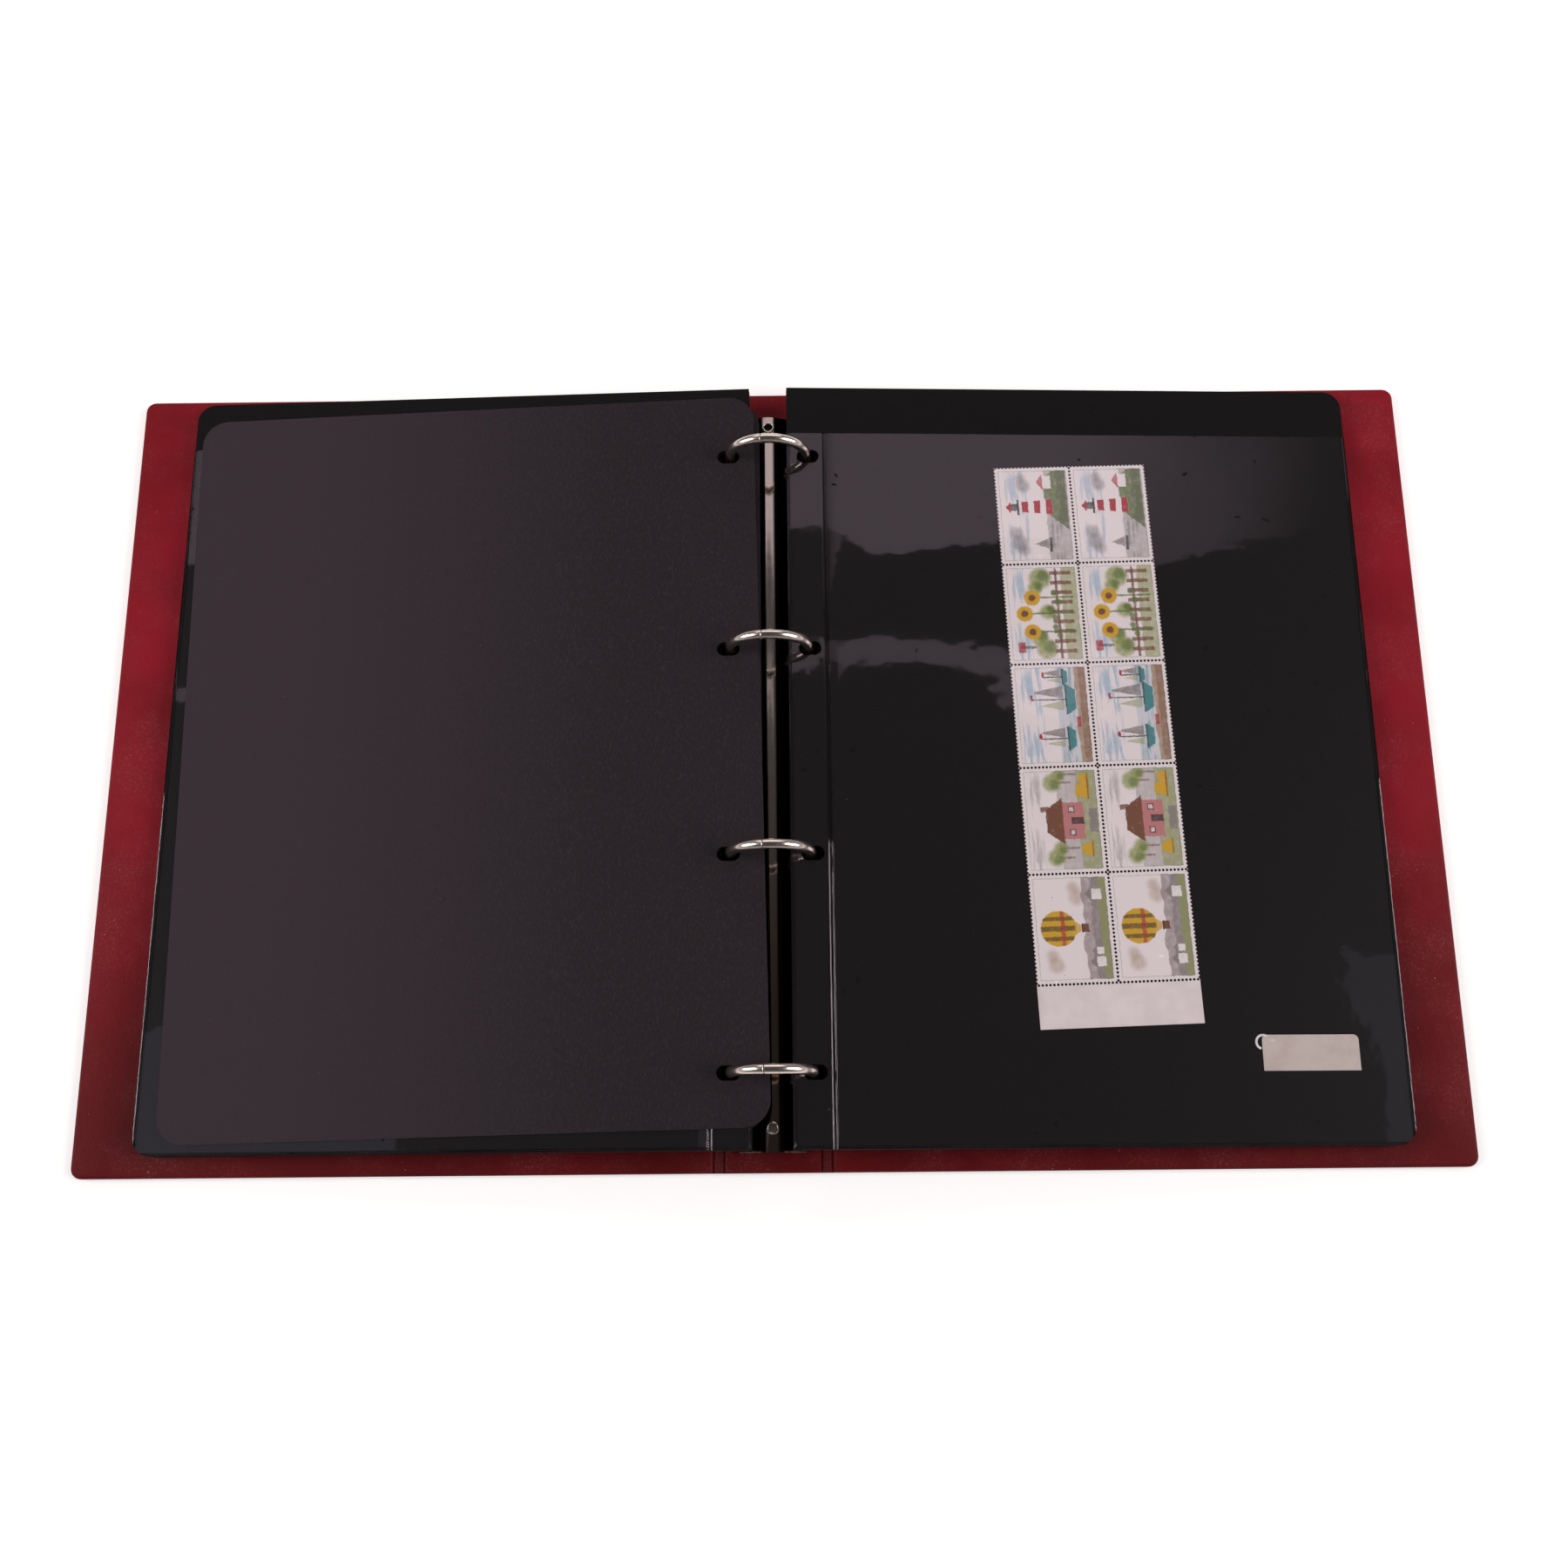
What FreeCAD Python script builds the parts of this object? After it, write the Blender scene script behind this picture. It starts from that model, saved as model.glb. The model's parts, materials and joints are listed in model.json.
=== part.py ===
import FreeCAD, Part
import math
import os

from FreeCAD import Vector

# Four-ring stamp album, lying open on a table. Sizes are in millimetres and degrees.
# X runs across the open covers, Y along the spine away from the reader, Z up.
# The origin is on the table under the middle of the spine.

# Cover panels: a greyboard core in a vinyl tray, closed by a vinyl lining
end_margin = 6.0
fore_margin = 23.5
hinge_gap = 4.4
closing_clearance = 1.0
board_core = 2.4
outer_vinyl = 0.5
lining_vinyl = 0.5
corner_radius = 4.0
edge_round = 0.4

# Flexible webs of vinyl between the spine and the boards
web_thickness = 0.8
crease_radius = 0.6

# Arched plate of the ring mechanism, which sits on the spine's lining
plate_head_end = 21.0
plate_foot_end = 27.5
plate_width = 24.0
plate_height = 7.0
plate_wall = 0.8
lip_reach = 0.4
lip_clearance = 0.25

# Blades that carry the rings and tilt on round outer edges inside the plate
blade_end = 12.0
blade_thickness = 0.9
blade_gap = 0.4
blade_dip = 6.0
bead_radius = 0.9
pivot_rise = 2.2
pivot_clearance = 0.05

# Round rings, each in two halves that meet beside the crest, set in from the ends of the leaves
ring_count = 4
ring_from_end = 28.5
ring_radius = 14.9
wire_diameter = 3.8
ring_swing = 12.0
seam_offset = 2.5
seam_gap = 0.1
tongue_length = 1.0
tongue_base_radius = 1.0
tongue_tip_radius = 0.6
tongue_clearance = 0.15
leg_inset = 1.9
leg_height = 1.1
tenon_radius = 1.1
notch_clearance = 0.5

# Hollow rivets that hold the plate's ends to the spine
rivet_head_inset = 4.7
rivet_foot_inset = 8.5
rivet_bore_radius = 1.5
rivet_wall = 0.4
rivet_flange_radius = 2.35
rivet_flange_height = 0.6
rivet_head_radius = 3.4
rivet_head_height = 0.4
rivet_clearance = 0.05

# Pocket leaves: a black sheet with a clear film on each face, welded down its seams and open at the head
page_width = 223.0
page_height = 297.0
page_shift = 1.5
page_corner = 7.0
sheet_thickness = 0.4
film_thickness = 0.12
pocket_depth = 0.3
film_drop = 20.0
seam_margin = 1.4
seam_width = 1.6
edge_weld = 1.2
left_leaf_count = 3
right_leaf_count = 3
leaf_gap = 0.25
ring_plane_clearance = 0.3
rest_clearance = 0.3

# Punched slots, which reach outwards past the wire to leave room for the opening rings
slot_width = 5.5
slot_inner_room = 0.3
slot_outer_room = 0.5
punch_margin = 3.77

# Plain card leaves on the left: one on top, slightly askew, and one under the first pocket leaf
card_width = 221.5
card_height = 285.0
card_overhang = 4.4
card_shift = 1.3
card_corner = 10.0
card_thickness = 0.45
card_skew = 1.1
lower_card_skew = 0.2

# Block of stamps and its paper label, loose in the pocket of the top right leaf
paper_thickness = 0.12
paper_lift = 0.05
block_width = 60.0
block_length = 221.0
block_from_edge = 115.5
block_above_middle = 4.6
block_skew = 2.06
label_width = 35.4
label_height = 12.9
label_from_fore_edge = 35.5
label_above_foot = 33.0
label_corner = 2.0

# Worked-out places of the rings and their blades
cover_thickness = outer_vinyl + board_core + lining_vinyl
wire_radius = wire_diameter / 2
ring_span = page_height - 2 * ring_from_end
ring_pitch = ring_span / (ring_count - 1)
ring_ys = [ring_span / 2 - i * ring_pitch for i in range(ring_count)]
plate_head = ring_span / 2 + plate_head_end
plate_foot = -ring_span / 2 - plate_foot_end
plate_length = plate_head - plate_foot
blade_length = ring_span + 2 * blade_end
rivet_ys = [plate_head - rivet_head_inset, plate_foot + rivet_foot_inset]
pivot_x = plate_width / 2 - plate_wall - bead_radius - pivot_clearance
pivot_z = cover_thickness + pivot_rise
shoulder_z = pivot_z + bead_radius
crest_z = cover_thickness + plate_height
leg_x = pivot_x - leg_inset * math.cos(math.radians(blade_dip))
leg_z = pivot_z + leg_height
ring_z = leg_z + math.sqrt(ring_radius ** 2 - leg_x ** 2)

# Worked-out places of the leaves, which all lie below the ring axis
swing = math.radians(ring_swing)
swing_room = (ring_z - pivot_z) * math.sin(swing) - (ring_radius - pivot_x) * (1 - math.cos(swing))
pocket_step = film_thickness + pocket_depth
leaf_pitch = 2 * pocket_step + sheet_thickness + leaf_gap
card_step = card_thickness + leaf_gap
left_depth = ring_plane_clearance + 2 * card_step + left_leaf_count * leaf_pitch - leaf_gap
right_depth = ring_plane_clearance + right_leaf_count * leaf_pitch - leaf_gap
deepest = max(left_depth, right_depth)
wire_inside = math.sqrt((ring_radius - wire_radius) ** 2 - deepest ** 2)
slot_start = wire_inside - slot_inner_room
slot_end = ring_radius + wire_radius + swing_room + slot_outer_room
page_inner = slot_start - punch_margin
page_foot = page_shift - page_height / 2
page_head = page_shift + page_height / 2
leaf_reach = page_inner + page_width
leaf_drop = ring_z - cover_thickness - rest_clearance - deepest
leaf_tilt = math.degrees(math.asin(leaf_drop / leaf_reach))

# Worked-out places of the cover, sized to close round the leaves and the rings
cover_length = page_height + 2 * end_margin
hinge_x = ring_radius + wire_radius + closing_clearance + cover_thickness / 2
hinge_z = cover_thickness / 2
spine_width = 2 * hinge_x - hinge_gap
board_start = hinge_x + hinge_gap / 2
board_end = leaf_reach + fore_margin

ALONG_Y = Vector(0, 1, 0)
UP = Vector(0, 0, 1)
SIDEWAYS = Vector(1, 0, 0)


def block(x_span, y_span, z_span):
    """A box between the low and high values of each span."""
    size = [high - low for low, high in (x_span, y_span, z_span)]
    corner = Vector(x_span[0], y_span[0], z_span[0])
    return Part.makeBox(size[0], size[1], size[2], corner)


def centred(length, middle=0.0):
    """The span of a length about its middle."""
    return (middle - length / 2, middle + length / 2)


def rod_along_y(radius, length, x, z, y_middle=0.0):
    """A round rod that runs along the spine."""
    return Part.makeCylinder(radius, length, Vector(x, y_middle - length / 2, z), ALONG_Y)


def rod_up(radius, x, y, z_low, z_high):
    """A round rod that stands upright."""
    return Part.makeCylinder(radius, z_high - z_low, Vector(x, y, z_low), UP)


def vertical_edges(solid, x_side=None):
    """Upright edges of a box, or only those on its low (-1) or high (+1) X side."""
    middle = solid.BoundBox.Center.x
    chosen = []
    for edge in solid.Edges:
        upright = edge.BoundBox.ZLength > 0.99 * solid.BoundBox.ZLength
        if upright and (x_side is None or (edge.BoundBox.Center.x - middle) * x_side > 0):
            chosen.append(edge)
    return chosen


def rounded_block(x_span, y_span, z_span, radius, x_side=None):
    """A box with upright corners rounded, all of them or those of one X side."""
    solid = block(x_span, y_span, z_span)
    return solid.makeFillet(radius, vertical_edges(solid, x_side))


def rim_edges(solid, z):
    """Edges that lie flat at height z on the outline of a solid."""
    found = []
    for edge in solid.Edges:
        box = edge.BoundBox
        if abs(box.ZMin - z) < 1e-6 and abs(box.ZMax - z) < 1e-6:
            found.append(edge)
    return found


def turned_about_y(shape, x, z, degrees):
    """A copy turned about a line along Y; positive degrees carry +X down."""
    copy = shape.copy()
    copy.rotate(Vector(x, 0, z), ALONG_Y, degrees)
    return copy


def mirrored(shape):
    """The same piece on the other side of the spine's middle plane."""
    return shape.mirror(Vector(0, 0, 0), SIDEWAYS)


def cover_panel(x_span, x_side=None):
    """Core board, outer vinyl tray and lining of one panel of the cover."""
    y_span = centred(cover_length)
    top = outer_vinyl + board_core
    inner_x = (x_span[0] + outer_vinyl, x_span[1] - outer_vinyl)
    inner_y = (y_span[0] + outer_vinyl, y_span[1] - outer_vinyl)
    if x_side is None:
        tray = block(x_span, y_span, (0, top))
        core = block(inner_x, inner_y, (outer_vinyl, top))
        lining = block(x_span, y_span, (top, cover_thickness))
    else:
        inner_radius = corner_radius - outer_vinyl
        tray = rounded_block(x_span, y_span, (0, top), corner_radius, x_side)
        core = rounded_block(inner_x, inner_y, (outer_vinyl, top), inner_radius, x_side)
        lining = rounded_block(x_span, y_span, (top, cover_thickness), corner_radius, x_side)
    tray = tray.cut(core)
    tray = tray.makeFillet(min(edge_round, 0.8 * outer_vinyl), rim_edges(tray, 0))
    lining = lining.makeFillet(min(edge_round, 0.8 * lining_vinyl), rim_edges(lining, cover_thickness))
    return core, tray, lining


def spine_panel():
    """The spine's panel, drilled for the two rivets."""
    core, tray, lining = cover_panel(centred(spine_width))
    shank = rivet_bore_radius + rivet_wall + rivet_clearance
    for y in rivet_ys:
        shank_hole = rod_up(shank, 0, y, 0, cover_thickness)
        head_hole = rod_up(rivet_head_radius + rivet_clearance, 0, y, 0, outer_vinyl)
        core = core.cut(shank_hole)
        lining = lining.cut(shank_hole)
        tray = tray.cut(head_hole)
    return core, tray, lining


def hinge_web():
    """The right-hand flexible web, with a rolled crease on the hinge line."""
    strip = block(centred(hinge_gap, hinge_x), centred(cover_length), centred(web_thickness, hinge_z))
    crease = rod_along_y(crease_radius, cover_length, hinge_x, hinge_z)
    return strip.fuse(crease).removeSplitter()


def plate_profile():
    """Cross-section of the arched plate, as one closed face."""
    base = cover_thickness
    half = plate_width / 2
    inner = half - plate_wall
    y = plate_foot

    def line(start, end):
        return Part.LineSegment(Vector(start[0], y, start[1]), Vector(end[0], y, end[1])).toShape()

    def arch(half_width, top):
        points = [Vector(-half_width, y, shoulder_z), Vector(0, y, top), Vector(half_width, y, shoulder_z)]
        return Part.Arc(*points).toShape()

    edges = [
        line((-half, base), (-half, shoulder_z)),
        arch(half, crest_z),
        line((half, shoulder_z), (half, base)),
        line((half, base), (inner, base)),
        line((inner, base), (inner, shoulder_z)),
        arch(inner, crest_z - plate_wall),
        line((-inner, shoulder_z), (-inner, base)),
        line((-inner, base), (-half, base)),
    ]
    return Part.Face(Part.Wire(Part.__sortEdges__(edges)))


def ring_plate():
    """The arched plate with its blade lips, ring notches and rivet holes."""
    plate = plate_profile().extrude(Vector(0, plate_length, 0))
    inner = plate_width / 2 - plate_wall
    lip_top = pivot_z - blade_thickness / 2 - lip_clearance
    lip = block((pivot_x - lip_reach, inner), (plate_foot, plate_head), (cover_thickness, lip_top))
    plate_middle = (plate_head + plate_foot) / 2
    lip = lip.cut(rod_along_y(bead_radius + pivot_clearance, plate_length, pivot_x, pivot_z, plate_middle))
    plate = plate.fuse([lip, mirrored(lip)])
    notch_x = (leg_x - wire_radius - notch_clearance, plate_width / 2 + notch_clearance)
    notch_z = (pivot_z, crest_z)
    for y in ring_ys:
        notch = block(notch_x, centred(wire_diameter + 2 * notch_clearance, y), notch_z)
        plate = plate.cut([notch, mirrored(notch)])
    hole = rivet_bore_radius + rivet_wall + rivet_clearance
    for y in rivet_ys:
        plate = plate.cut(rod_up(hole, 0, y, cover_thickness, crest_z))
    return plate.removeSplitter()


def on_blade(shape):
    """A piece drawn on the level right blade, dipped to its closed place."""
    return turned_about_y(shape, pivot_x, pivot_z, -blade_dip)


def ring_blade():
    """The right blade, with its round outer edge and the holes for the ring tenons."""
    x_span = (blade_gap / 2, pivot_x)
    blade = block(x_span, centred(blade_length), centred(blade_thickness, pivot_z))
    blade = blade.fuse(rod_along_y(bead_radius, blade_length, pivot_x, pivot_z)).removeSplitter()
    for y in ring_ys:
        blade = blade.cut(tenon(y))
    return on_blade(blade)


def tenon(y):
    """The reduced end of a ring's leg, on the level right blade."""
    low = pivot_z - blade_thickness / 2
    return rod_up(tenon_radius, pivot_x - leg_inset, y, low, low + blade_thickness + wire_radius)


def ring_point(angle, y):
    """A point on the ring's centre line; angle runs from +X up to +Z."""
    turn = math.radians(angle)
    return Vector(ring_radius * math.cos(turn), y, ring_z + ring_radius * math.sin(turn))


def ring_direction(angle):
    """The direction of the wire at an angle."""
    turn = math.radians(angle)
    return Vector(-math.sin(turn), 0, math.cos(turn))


def ring_half(y, end_angle):
    """A half ring on the right, from its blade to its tip, with the wire's end left square."""
    start_angle = -math.degrees(math.acos(leg_x / ring_radius))
    start = ring_point(start_angle, y)
    circle = Part.makeCircle(wire_radius, start, ring_direction(start_angle))
    section = Part.Face(Part.Wire(circle))
    arc = section.revolve(Vector(0, y, ring_z), Vector(0, -1, 0), end_angle - start_angle)
    leg = arc.fuse([Part.makeSphere(wire_radius, start), rod_up(wire_radius, leg_x, y, pivot_z, leg_z)])
    under_y = centred(wire_diameter * 2, y)
    under_z = (pivot_z - ring_radius, pivot_z + blade_thickness / 2)
    under = block((-ring_radius, pivot_x + ring_radius), under_y, under_z)
    bead = rod_along_y(bead_radius, wire_diameter * 2, pivot_x, pivot_z, y)
    leg = leg.cut([on_blade(under), bead])
    return leg.fuse(on_blade(tenon(y))).removeSplitter()


def seam_angle(side):
    """The angle of a half ring's tip; side is -1 before the seam and +1 after it."""
    seam = 90 + math.degrees(math.asin(seam_offset / ring_radius))
    return seam + side * math.degrees(seam_gap / 2 / ring_radius)


def left_ring(y):
    """The left half ring, whose tip carries the tongue."""
    end_angle = 180 - seam_angle(1)
    half = ring_half(y, end_angle)
    tip = ring_point(end_angle, y)
    along = ring_direction(end_angle)
    tongue = Part.makeCone(tongue_base_radius, tongue_tip_radius, tongue_length, tip, along)
    return mirrored(half.fuse(tongue).removeSplitter())


def right_ring(y):
    """The right half ring, whose tip is bored for the tongue."""
    end_angle = seam_angle(-1)
    half = ring_half(y, end_angle)
    tip = ring_point(end_angle, y)
    mouth_radius = tongue_base_radius + tongue_clearance
    floor_radius = tongue_tip_radius + tongue_clearance
    inwards = ring_direction(end_angle) * -1
    socket = Part.makeCone(mouth_radius, floor_radius, tongue_length + tongue_clearance, tip, inwards)
    return half.cut(socket)


def rivet(y):
    """A hollow rivet through the plate and the spine, with its head in the outer vinyl."""
    top = crest_z + rivet_flange_height
    bottom = outer_vinyl - rivet_head_height
    body = rod_up(rivet_bore_radius + rivet_wall, 0, y, bottom, top)
    flange = rod_up(rivet_flange_radius, 0, y, crest_z, top)
    head = rod_up(rivet_head_radius, 0, y, bottom, outer_vinyl)
    bore = rod_up(rivet_bore_radius, 0, y, bottom, top)
    return body.fuse([flange, head]).removeSplitter().cut(bore)


def on_leaf(shape, right=True):
    """A piece drawn level on the right of the ring axis, tilted to rest and put on its side."""
    tilted = turned_about_y(shape, 0, ring_z, leaf_tilt)
    return tilted if right else mirrored(tilted)


def depth_span(depth, thickness):
    """Heights of a layer whose top lies a depth below the ring axis."""
    return (ring_z - depth - thickness, ring_z - depth)


def punched(shape, depth, thickness):
    """A leaf with a slot at each ring, reaching outwards past the wire."""
    radius = slot_width / 2
    x_span = (slot_start + radius, slot_end - radius)
    z_span = depth_span(depth, thickness)
    for y in ring_ys:
        middle = block(x_span, centred(slot_width, y), z_span)
        ends = [rod_up(radius, x, y, z_span[0], z_span[1]) for x in x_span]
        shape = shape.cut(middle.fuse(ends).removeSplitter())
    return shape


def page_layer(depth, thickness):
    """One layer of a page's full outline, with its outer corners rounded."""
    x_span = (page_inner, leaf_reach)
    y_span = (page_foot, page_head)
    return rounded_block(x_span, y_span, depth_span(depth, thickness), page_corner, 1)


def pocket_film(film_depth, rim_depth):
    """A punched film whose welded rims, at their own depth, close a pocket that is open at the head."""
    seam_x = slot_end + seam_margin
    low = depth_span(max(film_depth, rim_depth), max(film_thickness, pocket_depth))[0]
    tall = (low, ring_z)
    hollow_y = (page_foot + edge_weld, page_head)
    margin = block((page_inner + edge_weld, seam_x), hollow_y, tall)
    pocket = block((seam_x + seam_width, leaf_reach - edge_weld), hollow_y, tall)
    rim = page_layer(rim_depth, pocket_depth).cut([margin, pocket])
    covered = block((page_inner, leaf_reach), (page_foot, page_head - film_drop), tall)
    film = page_layer(film_depth, film_thickness).fuse(rim).common(covered).removeSplitter()
    return punched(film, film_depth, film_thickness)


def pocket_leaf(depth):
    """The sheet, top film and under film of a leaf whose top lies a depth below the ring axis."""
    sheet_depth = depth + pocket_step
    under_depth = sheet_depth + sheet_thickness
    sheet = punched(page_layer(sheet_depth, sheet_thickness), sheet_depth, sheet_thickness)
    top_film = pocket_film(depth, depth + film_thickness)
    under_film = pocket_film(under_depth + pocket_depth, under_depth)
    return {"sheet": sheet, "top_film": top_film, "under_film": under_film}


def card_leaf(depth, skew):
    """A left card leaf whose top lies a depth below the ring axis, turned by its skew on its slots."""
    card_inner = page_inner - card_overhang
    x_span = (card_inner, card_inner + card_width)
    y_span = centred(card_height, card_shift)
    card = rounded_block(x_span, y_span, depth_span(depth, card_thickness), card_corner)
    card.rotate(card.BoundBox.Center, UP, -skew)
    return on_leaf(punched(card, depth, card_thickness), False)


def pocket_paper_z():
    """Heights of a paper that lies in the top right pocket, before the leaf tilts."""
    depth = ring_plane_clearance + pocket_step
    return (ring_z - depth + paper_lift, ring_z - depth + paper_lift + paper_thickness)


def stamp_block():
    """The block of stamps, slightly askew in its pocket."""
    x_span = centred(block_width, page_inner + block_from_edge)
    y_span = centred(block_length, page_shift + block_above_middle)
    paper = block(x_span, y_span, pocket_paper_z())
    paper.rotate(paper.BoundBox.Center, UP, block_skew)
    return on_leaf(paper)


def paper_label():
    """The paper label, with rounded corners at its top."""
    x_span = centred(label_width, leaf_reach - label_from_fore_edge)
    y_span = centred(label_height, page_foot + label_above_foot)
    paper = block(x_span, y_span, pocket_paper_z())
    top_corners = [e for e in vertical_edges(paper) if e.BoundBox.Center.y > paper.BoundBox.Center.y]
    return on_leaf(paper.makeFillet(label_corner, top_corners))


def cover_parts():
    """Nodes of the two covers, the spine and the webs between them."""
    names = ("board", "outer_vinyl", "lining")
    back = cover_panel((board_start, board_end), 1)
    parts = {}
    for name, back_piece, spine_piece in zip(names, back, spine_panel()):
        parts["front_" + name] = mirrored(back_piece)
        parts["spine_" + name] = spine_piece
        parts["back_" + name] = back_piece
    web = hinge_web()
    parts["front_hinge_web"] = mirrored(web)
    parts["back_hinge_web"] = web
    return parts


def mechanism_parts():
    """Nodes of the ring mechanism."""
    blade = ring_blade()
    parts = {"ring_plate": ring_plate(), "left_blade": mirrored(blade), "right_blade": blade}
    for number, y in enumerate(ring_ys, 1):
        parts["ring_%d_left" % number] = left_ring(y)
        parts["ring_%d_right" % number] = right_ring(y)
    for name, y in zip(("upper_rivet", "lower_rivet"), rivet_ys):
        parts[name] = rivet(y)
    return parts


def leaf_parts():
    """Nodes of the leaves and of what lies in the top pocket."""
    first_depth = ring_plane_clearance + card_step
    parts = {
        "interleaf_card": card_leaf(ring_plane_clearance, card_skew),
        "lower_interleaf_card": card_leaf(first_depth + leaf_pitch, lower_card_skew),
        "stamp_block": stamp_block(),
        "paper_label": paper_label(),
    }
    for number in range(1, left_leaf_count + 1):
        cards_above = 1 if number == 1 else 2
        depth = ring_plane_clearance + cards_above * card_step + (number - 1) * leaf_pitch
        for layer, shape in pocket_leaf(depth).items():
            parts["left_page_%d_%s" % (number, layer)] = on_leaf(shape, False)
    for number in range(1, right_leaf_count + 1):
        stem = "stamp_page" if number == 1 else "right_page_%d" % number
        depth = ring_plane_clearance + (number - 1) * leaf_pitch
        for layer, shape in pocket_leaf(depth).items():
            parts["%s_%s" % (stem, layer)] = on_leaf(shape)
    return parts


def main():
    """Build every node and write one file for each."""
    os.makedirs("parts", exist_ok=True)
    parts = {**cover_parts(), **mechanism_parts(), **leaf_parts()}
    for name, shape in parts.items():
        shape.exportStep("parts/%s.step" % name)


main()
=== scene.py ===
import json
import logging
import math
from dataclasses import dataclass
from enum import Enum

import bmesh
import bpy
from mathutils import Matrix, Vector, noise


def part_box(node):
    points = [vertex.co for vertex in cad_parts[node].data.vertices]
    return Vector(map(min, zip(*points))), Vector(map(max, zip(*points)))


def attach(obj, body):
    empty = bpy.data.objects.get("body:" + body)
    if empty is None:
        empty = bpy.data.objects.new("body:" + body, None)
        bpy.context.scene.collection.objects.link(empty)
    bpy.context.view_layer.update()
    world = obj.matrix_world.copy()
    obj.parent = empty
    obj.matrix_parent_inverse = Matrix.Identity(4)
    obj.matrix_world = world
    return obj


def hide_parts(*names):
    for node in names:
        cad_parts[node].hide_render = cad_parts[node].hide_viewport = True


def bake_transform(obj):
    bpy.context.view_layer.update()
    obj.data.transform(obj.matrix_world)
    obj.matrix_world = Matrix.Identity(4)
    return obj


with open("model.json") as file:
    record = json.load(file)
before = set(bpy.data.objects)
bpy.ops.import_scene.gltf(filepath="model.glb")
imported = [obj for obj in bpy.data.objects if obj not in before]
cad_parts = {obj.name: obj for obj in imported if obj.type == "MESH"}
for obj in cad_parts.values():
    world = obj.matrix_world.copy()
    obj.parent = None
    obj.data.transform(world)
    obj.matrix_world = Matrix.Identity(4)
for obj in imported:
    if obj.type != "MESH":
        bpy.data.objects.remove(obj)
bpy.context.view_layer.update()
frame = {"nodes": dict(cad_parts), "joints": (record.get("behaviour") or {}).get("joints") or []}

LOG = logging.getLogger("stamp_album")
MM = 0.001
SHEET = 0.4 * MM
UP = Vector((0.0, 0.0, 1.0))
ALONG = Vector((0.0, 1.0, 0.0))

ops = bmesh.ops
BMesh = bmesh.types.BMesh
Edges = list[bmesh.types.BMEdge]
Triple = tuple[float, float, float]
Colour = Triple
Material = bpy.types.Material
Socket = bpy.types.NodeSocket


class Side(Enum):
    """The two sides of the open album, as the sign of X."""

    LEFT = -1
    RIGHT = 1


class Motif(Enum):
    """The five pictures on the stamps, from the head of the block down."""

    LIGHTHOUSE = 0
    GARDEN = 1
    BOATS = 2
    COTTAGE = 3
    BALLOON = 4


def srgb(*levels: int) -> Colour:
    """The linear colour that a shader takes, from screen levels of red, green and blue up to 255."""
    shares = [level / 255 for level in levels]
    return tuple(s / 12.92 if s <= 0.04045 else ((s + 0.055) / 1.055) ** 2.4 for s in shares)


def smooth(value: float, low: float, high: float) -> float:
    """Rise from 0 at low to 1 at high, without a kink at either end."""
    share = min(max((value - low) / (high - low), 0.0), 1.0)
    return share * share * (3 - 2 * share)


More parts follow.
